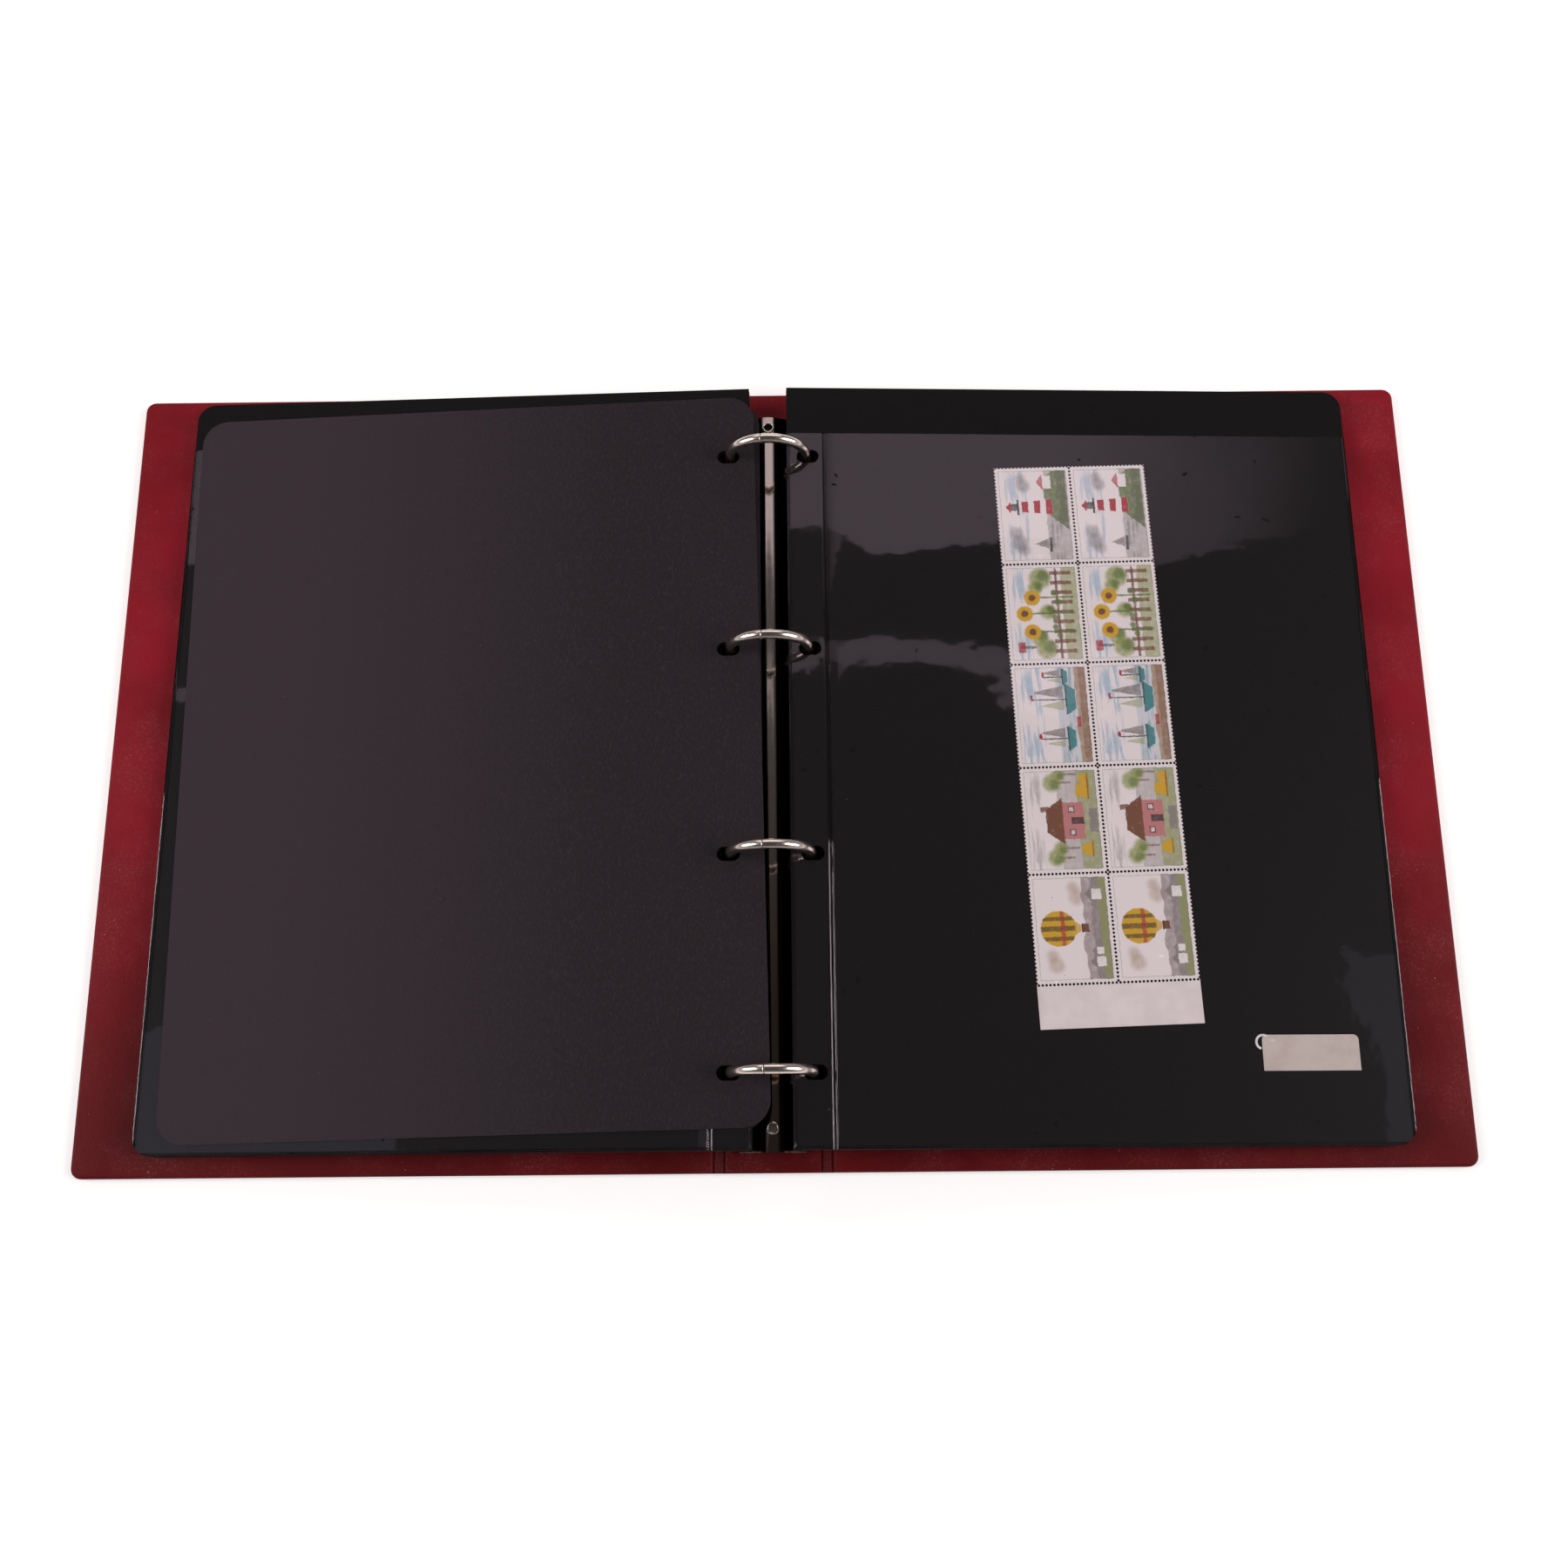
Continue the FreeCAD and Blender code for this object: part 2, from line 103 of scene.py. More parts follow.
class Graph:
    """The node tree of a material or a lamp, built with short calls and with patterns in millimetres."""

    def __init__(self, owner: Material | bpy.types.Light) -> None:
        """Use the owner's tree."""
        owner.use_nodes = True
        self.tree = owner.node_tree

    def node(self, kind: str, feeds: dict | None = None, **settings: object) -> bpy.types.Node:
        """Add a node.

        Args:
            kind: The node's type without its ShaderNode prefix.
            feeds: What its inputs get, by name or number.
            settings: Properties to set on it first.

        Returns:
            The new node.
        """
        made = self.tree.nodes.new("ShaderNode" + kind)
        for key, value in settings.items():
            setattr(made, key, value)
        for key, value in (feeds or {}).items():
            self.feed(made.inputs[key], value)
        return made

    def feed(self, socket: Socket, value: object) -> None:
        """Link a socket to another one, or set it to a plain value."""
        if isinstance(value, bpy.types.NodeSocket):
            self.tree.links.new(value, socket)
        elif socket.type == "RGBA":
            socket.default_value = (*value, 1.0)
        else:
            socket.default_value = value

    def math(self, operation: str, *values: object) -> Socket:
        """Combine numbers with a Math node."""
        return self.node("Math", dict(enumerate(values)), operation=operation).outputs[0]

    def times(self, first: object, *others: object) -> Socket:
        """The product of two numbers or more."""
        for other in others:
            first = self.math("MULTIPLY", first, other)
        return first

    def vector(self, operation: str, first: object, second: object) -> bpy.types.Node:
        """Combine two vectors with a Vector Math node."""
        return self.node("VectorMath", {0: first, 1: second}, operation=operation)

    def place(self, source: str = "Object", scale: Triple = (1 / MM, 1 / MM, 1 / MM)) -> Socket:
        """The surface's own place, in millimetres unless another scale is given."""
        return self.stretched(self.node("TexCoord").outputs[source], scale)

    def stretched(self, at: Socket, scale: Triple) -> Socket:
        """A place squeezed or stretched along its axes."""
        return self.node("Mapping", {"Vector": at, "Scale": scale}).outputs["Vector"]

    def noise(self, at: Socket, size: float, detail: float = 3.0, roughness: float = 0.5) -> Socket:
        """Soft noise whose lumps are about size millimetres across."""
        feeds = {"Vector": at, "Scale": 1 / size, "Detail": detail, "Roughness": roughness}
        return self.node("TexNoise", feeds).outputs["Fac"]

    def cells(self, at: Socket, size: float, feature: str = "F1") -> Socket:
        """Distance from the seeds of cells about size millimetres across."""
        feeds = {"Vector": at, "Scale": 1 / size}
        return self.node("TexVoronoi", feeds, feature=feature).outputs["Distance"]

    def along(self, at: Socket, axis: int) -> Socket:
        """One of a place's three numbers: 0, 1 or 2 for X, Y or Z."""
        return self.node("SeparateXYZ", {0: at}).outputs[axis]

    def attribute(self, name: str) -> Socket:
        """A number that the mesh carries under that name."""
        return self.node("Attribute", attribute_name=name).outputs["Fac"]

    def rise(self, value: object, low: float, high: float, top: float = 1.0) -> Socket:
        """Rise smoothly from 0 at low to top at high; a high below low makes a fall."""
        bottom, peak = (0.0, top) if low < high else (top, 0.0)
        feeds = {"Value": value, "From Min": min(low, high), "From Max": max(low, high)}
        feeds |= {"To Min": bottom, "To Max": peak}
        return self.node("MapRange", feeds, interpolation_type="SMOOTHSTEP").outputs["Result"]

    def mix(self, share: object, first: object, second: object) -> Socket:
        """Blend two colours."""
        return self.node("Mix", {0: share, 6: first, 7: second}, data_type="RGBA").outputs[2]

    def bump(self, height: Socket, depth: float) -> Socket:
        """Normals of a relief that is depth millimetres deep."""
        return self.node("Bump", {"Distance": depth * MM, "Height": height}).outputs["Normal"]

    def surface(
        self, colour: object, roughness: object, normal: Socket,
        metallic: object = 0.0, specular: float = 0.5,
    ) -> Socket:
        """A Principled shader with those inputs."""
        feeds = {"Base Color": colour, "Roughness": roughness, "Normal": normal}
        feeds |= {"Metallic": metallic, "Specular IOR Level": specular}
        return self.node("BsdfPrincipled", feeds).outputs["BSDF"]


class Finish:
    """The look of a surface; each kind wires its own shader."""

    name: str

    def build(self) -> Material:
        """Build the material."""
        material = bpy.data.materials.new(self.name)
        graph = Graph(material)
        graph.tree.nodes.clear()
        graph.node("OutputMaterial", {"Surface": self.shader(graph, graph.place())})
        return material

    def shader(self, graph: Graph, at: Socket) -> Socket:
        """Wire the shader in a graph, on places in millimetres."""
        raise NotImplementedError


@dataclass(frozen=True)
class RedVinyl(Finish):
    """Grained red vinyl with painted shade toward its foot and, if set, along the spine under the leaves,
    with dusty patches and fine pale flecks.
    """

    name: str = "red_vinyl"
    crease: float = 0.0
    colour: Colour = srgb(145, 20, 37)
    shade: Colour = srgb(122, 16, 28)
    foot_shade_colour: Colour = srgb(74, 10, 11)
    deep: Colour = srgb(26, 4, 6)
    dusty: Colour = srgb(166, 92, 94)
    fleck: Colour = srgb(206, 170, 140)
    foot_shade_from: float = 20.0
    foot_shade_to: float = -165.0
    foot_shade_share: float = 0.85
    dust_share: float = 0.42
    under_leaf_shade_from: float = 142.0
    under_leaf_shade_to: float = 132.0
    grain_size: float = 0.8
    grain_depth: float = 0.05

    def shader(self, graph: Graph, at: Socket) -> Socket:
        """Wire the vinyl."""
        broad = graph.noise(at, 70.0, 3.0, 0.6)
        colour = graph.mix(graph.rise(broad, 0.35, 0.65), self.shade, self.colour)
        # Painted shade: the colour darkens toward the foot, in place of the light that falls off there.
        foot_shade = graph.rise(graph.along(at, 1), self.foot_shade_from, self.foot_shade_to, self.foot_shade_share)
        colour = graph.mix(foot_shade, colour, self.foot_shade_colour)
        grit = graph.rise(graph.noise(at, 0.9, 3.0, 0.75), 0.5, 0.68)
        patch = graph.rise(graph.noise(at, 26.0, 6.0, 0.68), 0.4, 0.72)
        dust = graph.times(patch, graph.math("MULTIPLY_ADD", grit, 0.75, 0.15))
        colour = graph.mix(graph.times(dust, self.dust_share), colour, self.dusty)
        # The edge share; on this vinyl it adds pale flecks and darkens the edges in patches.
        edge = graph.attribute("edge_wear_and_light")
        spots = graph.rise(graph.cells(at, 2.6), 0.11, 0.05)
        some = graph.rise(graph.noise(at, 14.0, 4.0, 0.7), 0.56, 0.66)
        some = graph.times(some, graph.math("MULTIPLY_ADD", edge, 0.5, 0.4))
        colour = graph.mix(graph.times(spots, some), colour, self.fleck)
        colour = graph.mix(graph.times(edge, graph.rise(broad, 0.2, 0.7, 0.25)), colour, self.shade)
        # Painted shade: away from the spine's ends the vinyl darkens toward deep, as the shade under the
        # leaves.
        if self.crease:
            away = graph.math("ABSOLUTE", graph.along(at, 1))
            dark = graph.rise(away, self.under_leaf_shade_from, self.under_leaf_shade_to, self.crease)
            colour = graph.mix(dark, colour, self.deep)
        grain = graph.cells(at, self.grain_size, "SMOOTH_F1")
        height = graph.math("ADD", grain, graph.times(graph.noise(at, 6.0), 1.5))
        roughness = graph.math("MULTIPLY_ADD", dust, 0.2, 0.55)
        return graph.surface(colour, roughness, graph.bump(height, self.grain_depth), specular=0.12)


@dataclass(frozen=True)
class Nickel(Finish):
    """Polished nickel plating with faint scratches and brownish tarnish; with a crest, painted shade darkens
    it toward its foot and below its crest.
    """

    name: str
    crest: float | None = None
    colour: Colour = (0.74, 0.65, 0.59)
    tarnish: Colour = (0.42, 0.31, 0.25)
    side_shade_colour: Colour = (0.06, 0.042, 0.033)
    foot_dark_reflection: Colour = (0.17, 0.115, 0.075)
    foot_dark_reflection_from: float = 20.0
    foot_dark_reflection_to: float = -110.0
    foot_dark_reflection_share: float = 0.9
    tarnish_share: float = 0.35
    gloss: float = 0.19
    scratch: float = 0.08

    def shader(self, graph: Graph, at: Socket) -> Socket:
        """Wire the nickel."""
        stain = graph.rise(graph.noise(at, 7.0, 5.0, 0.65), 0.5, 0.72, self.tarnish_share)
        hair = graph.noise(graph.stretched(at, (1.0, 0.08, 1.0)), 0.35, 3.0, 0.6)
        colour = graph.mix(stain, self.colour, self.tarnish)
        if self.crest is not None:
            # Painted shade: darker and browner toward the foot, standing in for the dark reflection there.
            brown = graph.rise(graph.along(at, 1), self.foot_dark_reflection_from, self.foot_dark_reflection_to, self.foot_dark_reflection_share)
            colour = graph.mix(brown, colour, self.foot_dark_reflection)
            # Painted shade: below the crest the plate darkens, as where the leaves shade its sides.
            side_shade = graph.rise(graph.along(at, 2), self.crest - 0.15, self.crest - 0.4)
            colour = graph.mix(side_shade, colour, self.side_shade_colour)
        roughness = graph.math("MULTIPLY_ADD", graph.rise(hair, 0.45, 0.75), self.scratch, self.gloss)
        return graph.surface(colour, roughness, graph.bump(graph.noise(at, 9.0, 2.0), 0.02), metallic=1.0)


@dataclass(frozen=True)
class BlackSheet(Finish):
    """Smooth black sheet with a faint sheen and a little dust."""

    name: str = "black_sheet"
    colour: Colour = srgb(14, 11, 12)
    dust: Colour = srgb(66, 62, 62)

    def shader(self, graph: Graph, at: Socket) -> Socket:
        """Wire the sheet."""
        spots = graph.rise(graph.cells(at, 7.0), 0.035, 0.015)
        colour = graph.mix(graph.times(spots, 0.6), self.colour, self.dust)
        roughness = graph.math("MULTIPLY_ADD", graph.noise(at, 30.0, 4.0), 0.2, 0.45)
        return graph.surface(colour, roughness, graph.bump(graph.noise(at, 0.7, 2.0), 0.01), specular=0.12)


@dataclass(frozen=True)
class ClearFilm(Finish):
    """Clear glossy film with slow ripples, specks of dust and small droplet marks."""

    name: str = "clear_film"
    mirror: float = 0.045
    tint: Colour = (1.0, 0.9, 0.97)
    ripple: float = 1.4
    roughness: float = 0.03

    def shader(self, graph: Graph, at: Socket) -> Socket:
        """Wire the film: a mirror that strengthens toward grazing view, laid over clear."""
        slow = graph.noise(graph.stretched(at, (0.6, 1.0, 1.0)), 70.0, 1.5, 0.4)
        quick = graph.noise(at, 14.0, 2.0, 0.5)
        normal = graph.bump(graph.math("ADD", slow, graph.times(quick, 0.035)), self.ripple)
        facing = graph.node("LayerWeight", {"Normal": normal}).outputs["Facing"]
        gloss = graph.math("MULTIPLY_ADD", graph.math("POWER", facing, 5.0), 1.0 - self.mirror, self.mirror)
        specks = graph.rise(graph.cells(at, 9.0), 0.03, 0.015)
        dust = graph.times(specks, graph.rise(graph.noise(at, 40.0, 3.0), 0.5, 0.62, 0.5))
        drops = graph.rise(graph.noise(at, 3.2, 1.0), 0.74, 0.78)
        gloss = graph.times(gloss, graph.math("SUBTRACT", 1.0, drops))
        shiny = graph.surface(self.tint, self.roughness, normal, metallic=graph.math("SUBTRACT", 1.0, dust))
        clear = graph.node("BsdfTransparent").outputs[0]
        return graph.node("MixShader", {0: graph.math("ADD", gloss, dust), 1: clear, 2: shiny}).outputs[0]


@dataclass(frozen=True)
class BlackCard(Finish):
    """Matte black card with short fibres, a few pale specks and a painted highlight along its cut edges."""

    name: str = "black_card"
    colour: Colour = srgb(37, 31, 36)
    outer_light_colour: Colour = srgb(56, 46, 53)
    fibre: Colour = srgb(60, 51, 58)
    specks_and_edge_highlight: Colour = srgb(92, 84, 90)
    outer_light_from: float = -40.0
    outer_light_to: float = -190.0

    def shader(self, graph: Graph, at: Socket) -> Socket:
        """Wire the card."""
        fine = graph.noise(graph.stretched(at, (1.0, 0.45, 1.0)), 0.8, 4.0, 0.7)
        # Painted light: the card is lighter toward its outer edge, as the light falls there.
        outward = graph.rise(graph.along(at, 0), self.outer_light_from, self.outer_light_to)
        colour = graph.mix(outward, self.colour, self.outer_light_colour)
        colour = graph.mix(graph.rise(fine, 0.45, 0.8, 0.6), colour, self.fibre)
        spots = graph.rise(graph.cells(at, 13.0), 0.03, 0.012)
        colour = graph.mix(graph.times(spots, 0.5), colour, self.specks_and_edge_highlight)
        patchy = graph.rise(graph.noise(at, 18.0, 4.0, 0.6), 0.4, 0.65)
        # Painted highlight: the edges are paler in patches, as where the cut edge catches the light.
        colour = graph.mix(graph.times(graph.attribute("edge_wear_and_light"), patchy), colour, self.specks_and_edge_highlight)
        return graph.surface(colour, 0.82, graph.bump(fine, 0.03), specular=0.2)


@dataclass(frozen=True)
class Paper(Finish):
    """Plain paper with fine fibres and a faint uneven tone."""

    name: str
    colour: Colour
    shade: Colour
    roughness: float = 0.6

    def shader(self, graph: Graph, at: Socket) -> Socket:
        """Wire the paper."""
        tone = graph.rise(graph.noise(at, 9.0, 5.0, 0.6), 0.35, 0.75)
        fibre = graph.noise(graph.stretched(at, (1.0, 0.5, 1.0)), 0.5, 3.0)
        colour = graph.mix(tone, self.colour, self.shade)
        return graph.surface(colour, self.roughness, graph.bump(fibre, 0.015))


@dataclass(frozen=True)
class FloorFinish(Finish):
    """A pale surface that glows white away from the album; mirrors see its rim as dim as the sky."""

    sky: float
    near_glow: float = 0.4
    near: float = 500.0
    far: float = 1600.0
    rim: float = 250.0
    colour: Colour = (0.85, 0.85, 0.85)
    name: str = "floor"

    def shader(self, graph: Graph, at: Socket) -> Socket:
        """Wire the floor."""
        path = graph.node("LightPath").outputs
        away = graph.vector("LENGTH", at, (0.0, 0.0, 0.0)).outputs["Value"]
        bright = graph.rise(away, self.near, self.far, 1.0 - self.near_glow)
        bright = graph.math("ADD", bright, self.near_glow)
        seen = graph.math("MAXIMUM", path["Is Camera Ray"], path["Is Transmission Ray"])
        level = graph.rise(graph.along(at, 2), self.rim, 0.0, self.near_glow - self.sky)
        mirrored = graph.times(path["Is Glossy Ray"], graph.math("ADD", level, self.sky))
        strength = graph.math("ADD", graph.times(seen, bright), mirrored)
        glow = graph.node("Emission", {"Strength": strength}).outputs[0]
        pale = graph.node("BsdfDiffuse", {"Color": self.colour}).outputs[0]
        return graph.node("AddShader", {0: pale, 1: glow}).outputs[0]


class Painter:
    """Paints flat, slightly uneven shapes on a stamp, in the print's own millimetres."""

    def __init__(self, graph: Graph, size: tuple[float, float], paper: Colour) -> None:
        """Start from bare paper.

        Args:
            graph: The material to paint in.
            size: Width and height of the stamp as its picture is seen.
            paper: The paper's colour.
        """
        self.graph = graph
        flat = graph.place("UV", (*size, 1.0))
        drift = graph.node("TexNoise", {"Vector": flat, "Scale": 0.9}).outputs["Color"]
        wander = graph.vector("SUBTRACT", drift, (0.5, 0.5, 0.5)).outputs[0]
        wander = graph.vector("MULTIPLY", wander, (0.9, 0.9, 0.0)).outputs[0]
        self.at = graph.vector("ADD", flat, wander).outputs[0]
        self.x, self.y = graph.along(self.at, 0), graph.along(self.at, 1)
        self.wash = graph.rise(graph.noise(flat, 2.2, 4.0, 0.65), 0.25, 0.6)
        self.colour: object = paper

    def paint(self, colour: Colour, strength: float, mask: Socket, within: Socket | None = None) -> Socket:
        """Lay a wash of colour over what is there.

        Args:
            colour: The colour.
            strength: How well it covers.
            mask: A shape that is 1 where the wash goes.
            within: Another shape that the wash stays inside of.

        Returns:
            The first shape.
        """
        graph = self.graph
        share = mask if within is None else graph.times(within, mask)
        thin = graph.math("MULTIPLY_ADD", self.wash, 0.35, 0.65)
        self.colour = graph.mix(graph.times(share, strength, thin), self.colour, colour)
        return mask

    def taper(self, x: float, base: float, width: float, height: float, lean: float = 0.0) -> Socket:
        """A shape on a base line whose half width shrinks by lean for each millimetre up."""
        graph, blur = self.graph, 0.12
        aside = graph.math("ABSOLUTE", graph.math("SUBTRACT", self.x, x))
        up = graph.math("SUBTRACT", self.y, base)
        reach = graph.math("SUBTRACT", width / 2, graph.times(up, lean))
        inside = graph.rise(graph.math("SUBTRACT", reach, aside), -blur, blur)
        return graph.times(inside, graph.rise(up, -blur, blur), graph.rise(up, height + blur, height - blur))

    def leaning(self, colour: Colour, strength: float, *sizes: float) -> Socket:
        """Paint a tapered shape of those sizes."""
        return self.paint(colour, strength, self.taper(*sizes))

    def slab(
        self, colour: Colour, strength: float, x: float, y: float, width: float, height: float,
        within: Socket | None = None,
    ) -> Socket:
        """Paint an upright rectangle about a centre."""
        return self.paint(colour, strength, self.taper(x, y - height / 2, width, height), within)

    def disc(
        self, colour: Colour, strength: float, x: float, y: float, radius: float, blur: float = 0.25
    ) -> Socket:
        """Paint a round spot."""
        away = self.graph.vector("DISTANCE", self.at, (x, y, 0.0)).outputs["Value"]
        return self.paint(colour, strength, self.graph.rise(away, radius + blur, radius - blur))

    def ground(
        self, colour: Colour, strength: float, level: float, swell: float, length: float,
        within: Socket | None = None,
    ) -> Socket:
        """Paint everything below a rolling line."""
        graph = self.graph
        flat = graph.stretched(self.at, (1.0, 0.0, 0.0))
        line = graph.math("MULTIPLY_ADD", graph.noise(flat, length, 1.0), swell, level - swell / 2)
        below = graph.rise(graph.math("SUBTRACT", line, self.y), -0.15, 0.15)
        return self.paint(colour, strength, below, within)

    def streaks(self, colour: Colour, strength: float, low: float, high: float) -> Socket:
        """Paint broken level strokes between two heights, as of a dry brush."""
        graph, blur = self.graph, 1.5
        strokes = graph.noise(graph.stretched(self.at, (0.12, 1.0, 1.0)), 1.6, 2.0)
        band = graph.times(graph.rise(self.y, low, low + blur), graph.rise(self.y, high, high - blur))
        return self.paint(colour, strength, graph.times(graph.rise(strokes, 0.45, 0.62), band))


@dataclass(frozen=True)
class StampPrint(Finish):
    """A small picture of flat washes in a thin frame on white stamp paper."""

    motif: Motif
    size: tuple[float, float]
    paper: Colour = srgb(238, 229, 231)
    line: Colour = srgb(78, 74, 76)
    grey: Colour = srgb(140, 131, 132)
    sky: Colour = srgb(176, 194, 212)
    green: Colour = srgb(104, 124, 66)
    leaf: Colour = srgb(150, 158, 88)
    red: Colour = srgb(178, 50, 62)
    rose: Colour = srgb(196, 128, 128)
    mauve: Colour = srgb(152, 134, 138)
    brown: Colour = srgb(124, 78, 58)
    yellow: Colour = srgb(214, 168, 44)
    teal: Colour = srgb(78, 140, 146)
    sand: Colour = srgb(172, 142, 112)
    dark: Colour = srgb(52, 50, 52)

    @property
    def name(self) -> str:
        """The material's name."""
        return "stamp_print_" + self.motif.name.lower()

    def shader(self, graph: Graph, at: Socket) -> Socket:
        """Paint the motif's own scene, then its frame."""
        brush = Painter(graph, self.size, self.paper)
        getattr(self, self.motif.name.lower())(brush)
        self.border(brush)
        return graph.surface(brush.colour, 0.45, graph.bump(graph.noise(at, 0.5, 3.0), 0.012))

    def border(self, brush: Painter) -> None:
        """Clear the margin and draw a thin frame inside it."""
        width, height = self.size
        for inset, colour, strength in ((1.8, self.line, 0.4), (1.5, self.paper, 1.6)):
            inner = brush.taper(width / 2, inset, width - 2 * inset, height - 2 * inset)
            brush.paint(colour, strength, brush.graph.math("SUBTRACT", 1.0, inner))

    def lighthouse(self, brush: Painter) -> None:
        """A banded tower on a green headland, over a grey sea."""
        brush.streaks(self.sky, 0.8, 17.0, 27.0)
        for x, y, radius in ((9, 22, 3.2), (13, 23.2, 2.6), (6, 20.5, 2.2), (33, 19, 2.6), (36, 20, 2)):
            brush.disc(self.grey, 0.6, x, y, radius, 1.2)
        brush.ground(self.grey, 0.55, 10.5, 1.2, 3.0)
        brush.streaks(self.dark, 0.5, 4.0, 10.0)
        slope = brush.leaning(self.green, 0.9, 29.0, 2.0, 30.0, 9.0, 0.9)
        brush.ground(self.dark, 0.35, 6.0, 4.0, 5.0, slope)
        tower = brush.leaning(self.paper, 1.4, 24.0, 8.0, 6.4, 13.0, 0.09)
        for level in (9.2, 14.0, 18.8):
            brush.slab(self.red, 1.2, 24.0, level, 12.0, 2.5, tower)
        brush.slab(self.dark, 1.2, 24.0, 21.6, 6.4, 0.8)
        brush.slab(self.dark, 0.9, 24.0, 23.2, 3.0, 2.6)
        brush.leaning(self.red, 1.1, 24.0, 24.4, 4.6, 2.2, 1.1)
        brush.slab(self.paper, 1.2, 34.5, 9.6, 5.4, 3.4)
        brush.leaning(self.red, 0.9, 34.5, 11.2, 6.8, 2.6, 1.3)
        brush.slab(self.dark, 0.9, 8.0, 9.8, 6.0, 1.1)
        brush.leaning(self.grey, 0.9, 8.4, 10.6, 4.4, 5.4, 0.42)

    def garden(self, brush: Painter) -> None:
        """Tall yellow flowers by a brown fence, with leafy bushes behind."""
        brush.streaks(self.sky, 0.9, 20.0, 27.5)
        for x, y, radius in ((6, 15, 4), (10.5, 17.5, 3.2), (35, 15.5, 4.2), (31, 17.6, 2.8), (21, 13.5, 3)):
            brush.disc(self.leaf, 0.9, x, y, radius, 1.0)
            brush.disc(self.green, 0.8, x + 0.8, y - 1.2, radius * 0.6, 0.9)
        brush.ground(self.leaf, 0.7, 7.5, 1.4, 6.0)
        for x in range(5, 38, 4):
            brush.slab(self.brown, 0.9, float(x), 7.6, 1.5, 8.2)
        brush.slab(self.brown, 0.9, 20.5, 9.4, 37.0, 1.0)
        for x, y in ((13.0, 20.0), (20.5, 22.5), (27.0, 19.2)):
            brush.slab(self.green, 0.9, x, y / 2 + 1.5, 0.7, y - 3.0)
            brush.disc(self.yellow, 1.2, x, y, 3.1, 0.5)
            brush.disc(self.brown, 1.2, x, y, 1.35, 0.3)
            brush.disc(self.green, 0.9, x + 1.8, y * 0.55, 1.2, 0.4)
            brush.disc(self.green, 0.9, x - 1.8, y * 0.48, 1.2, 0.4)
        brush.slab(self.dark, 0.7, 6.8, 22.0, 1.0, 6.0)
        brush.slab(self.red, 0.9, 6.8, 24.6, 4.2, 2.8)

    def boats(self, brush: Painter) -> None:
        """Teal boats with grey sails off a sandy shore."""
        brush.streaks(self.sky, 1.0, 18.0, 28.0)
        brush.ground(self.sky, 0.5, 13.0, 0.8, 4.0)
        brush.streaks(self.teal, 0.6, 6.0, 13.0)
        for x, scale in ((11.0, 1.0), (26.5, 1.25), (35.5, 0.7)):
            deck = 11.5 - 1.6 * scale
            brush.leaning(self.teal, 1.2, x, deck - 2.8 * scale, 6.0 * scale, 2.8 * scale, -0.7)
            brush.slab(self.dark, 0.9, x, deck + 0.1, 9.6 * scale, 0.6)
            brush.slab(self.dark, 0.9, x, deck + 5.4 * scale, 0.5, 10.6 * scale)
            brush.leaning(self.grey, 0.9, x + 2.3 * scale, deck + 1.2, 4.0 * scale, 8.8 * scale, 0.2)
            brush.leaning(self.leaf, 0.6, x - 1.9 * scale, deck + 1.2, 3.0 * scale, 6.6 * scale, 0.2)
            brush.slab(self.red, 1.2, x + 1.0, deck + 10.6 * scale, 2.0, 0.9)
        shore = brush.ground(self.sand, 0.9, 5.8, 2.6, 9.0)
        brush.ground(self.brown, 0.5, 4.2, 1.6, 4.0, shore)
        brush.slab(self.red, 0.9, 17.6, 5.4, 4.0, 1.6)

    def cottage(self, brush: Painter) -> None:
        """A cottage with a brown roof between pale trees and yellow stacks."""
        brush.streaks(self.grey, 0.5, 22.0, 28.0)
        brush.ground(self.grey, 0.5, 16.5, 3.2, 7.0)
        for x, y, radius in ((6, 18.5, 3.2), (9.6, 16.5, 2.6), (34.8, 18, 3.4), (38, 15.4, 2.4)):
            brush.slab(self.brown, 0.7, x, y - 4.0, 0.8, 6.0)
            brush.disc(self.leaf, 0.9, x, y, radius, 1.1)
            brush.disc(self.green, 0.7, x - 0.6, y - 0.8, radius * 0.55, 0.7)
        brush.ground(self.leaf, 0.7, 9.0, 1.8, 8.0)
        brush.slab(self.rose, 1.2, 20.0, 11.0, 14.0, 8.0)
        brush.leaning(self.brown, 1.2, 20.0, 14.8, 18.0, 6.4, 0.75)
        brush.slab(self.brown, 0.9, 24.6, 21.4, 2.0, 3.4)
        brush.slab(self.dark, 0.9, 20.0, 9.4, 2.6, 4.8)
        for x in (15.6, 24.4):
            brush.slab(self.dark, 0.9, x, 11.6, 2.4, 2.4)
            brush.slab(self.paper, 0.9, x, 11.6, 1.6, 1.6)
        for x, size in ((9.0, 5.6), (31.5, 6.4), (36.0, 4.6)):
            brush.leaning(self.yellow, 1.2, x, 4.2, size, size * 0.8, 0.28)
            brush.slab(self.brown, 0.8, x, 4.6, size, 0.6)
        brush.ground(self.grey, 0.9, 5.0, 2.0, 2.0, brush.taper(20.0, 2.0, 9.0, 4.0))

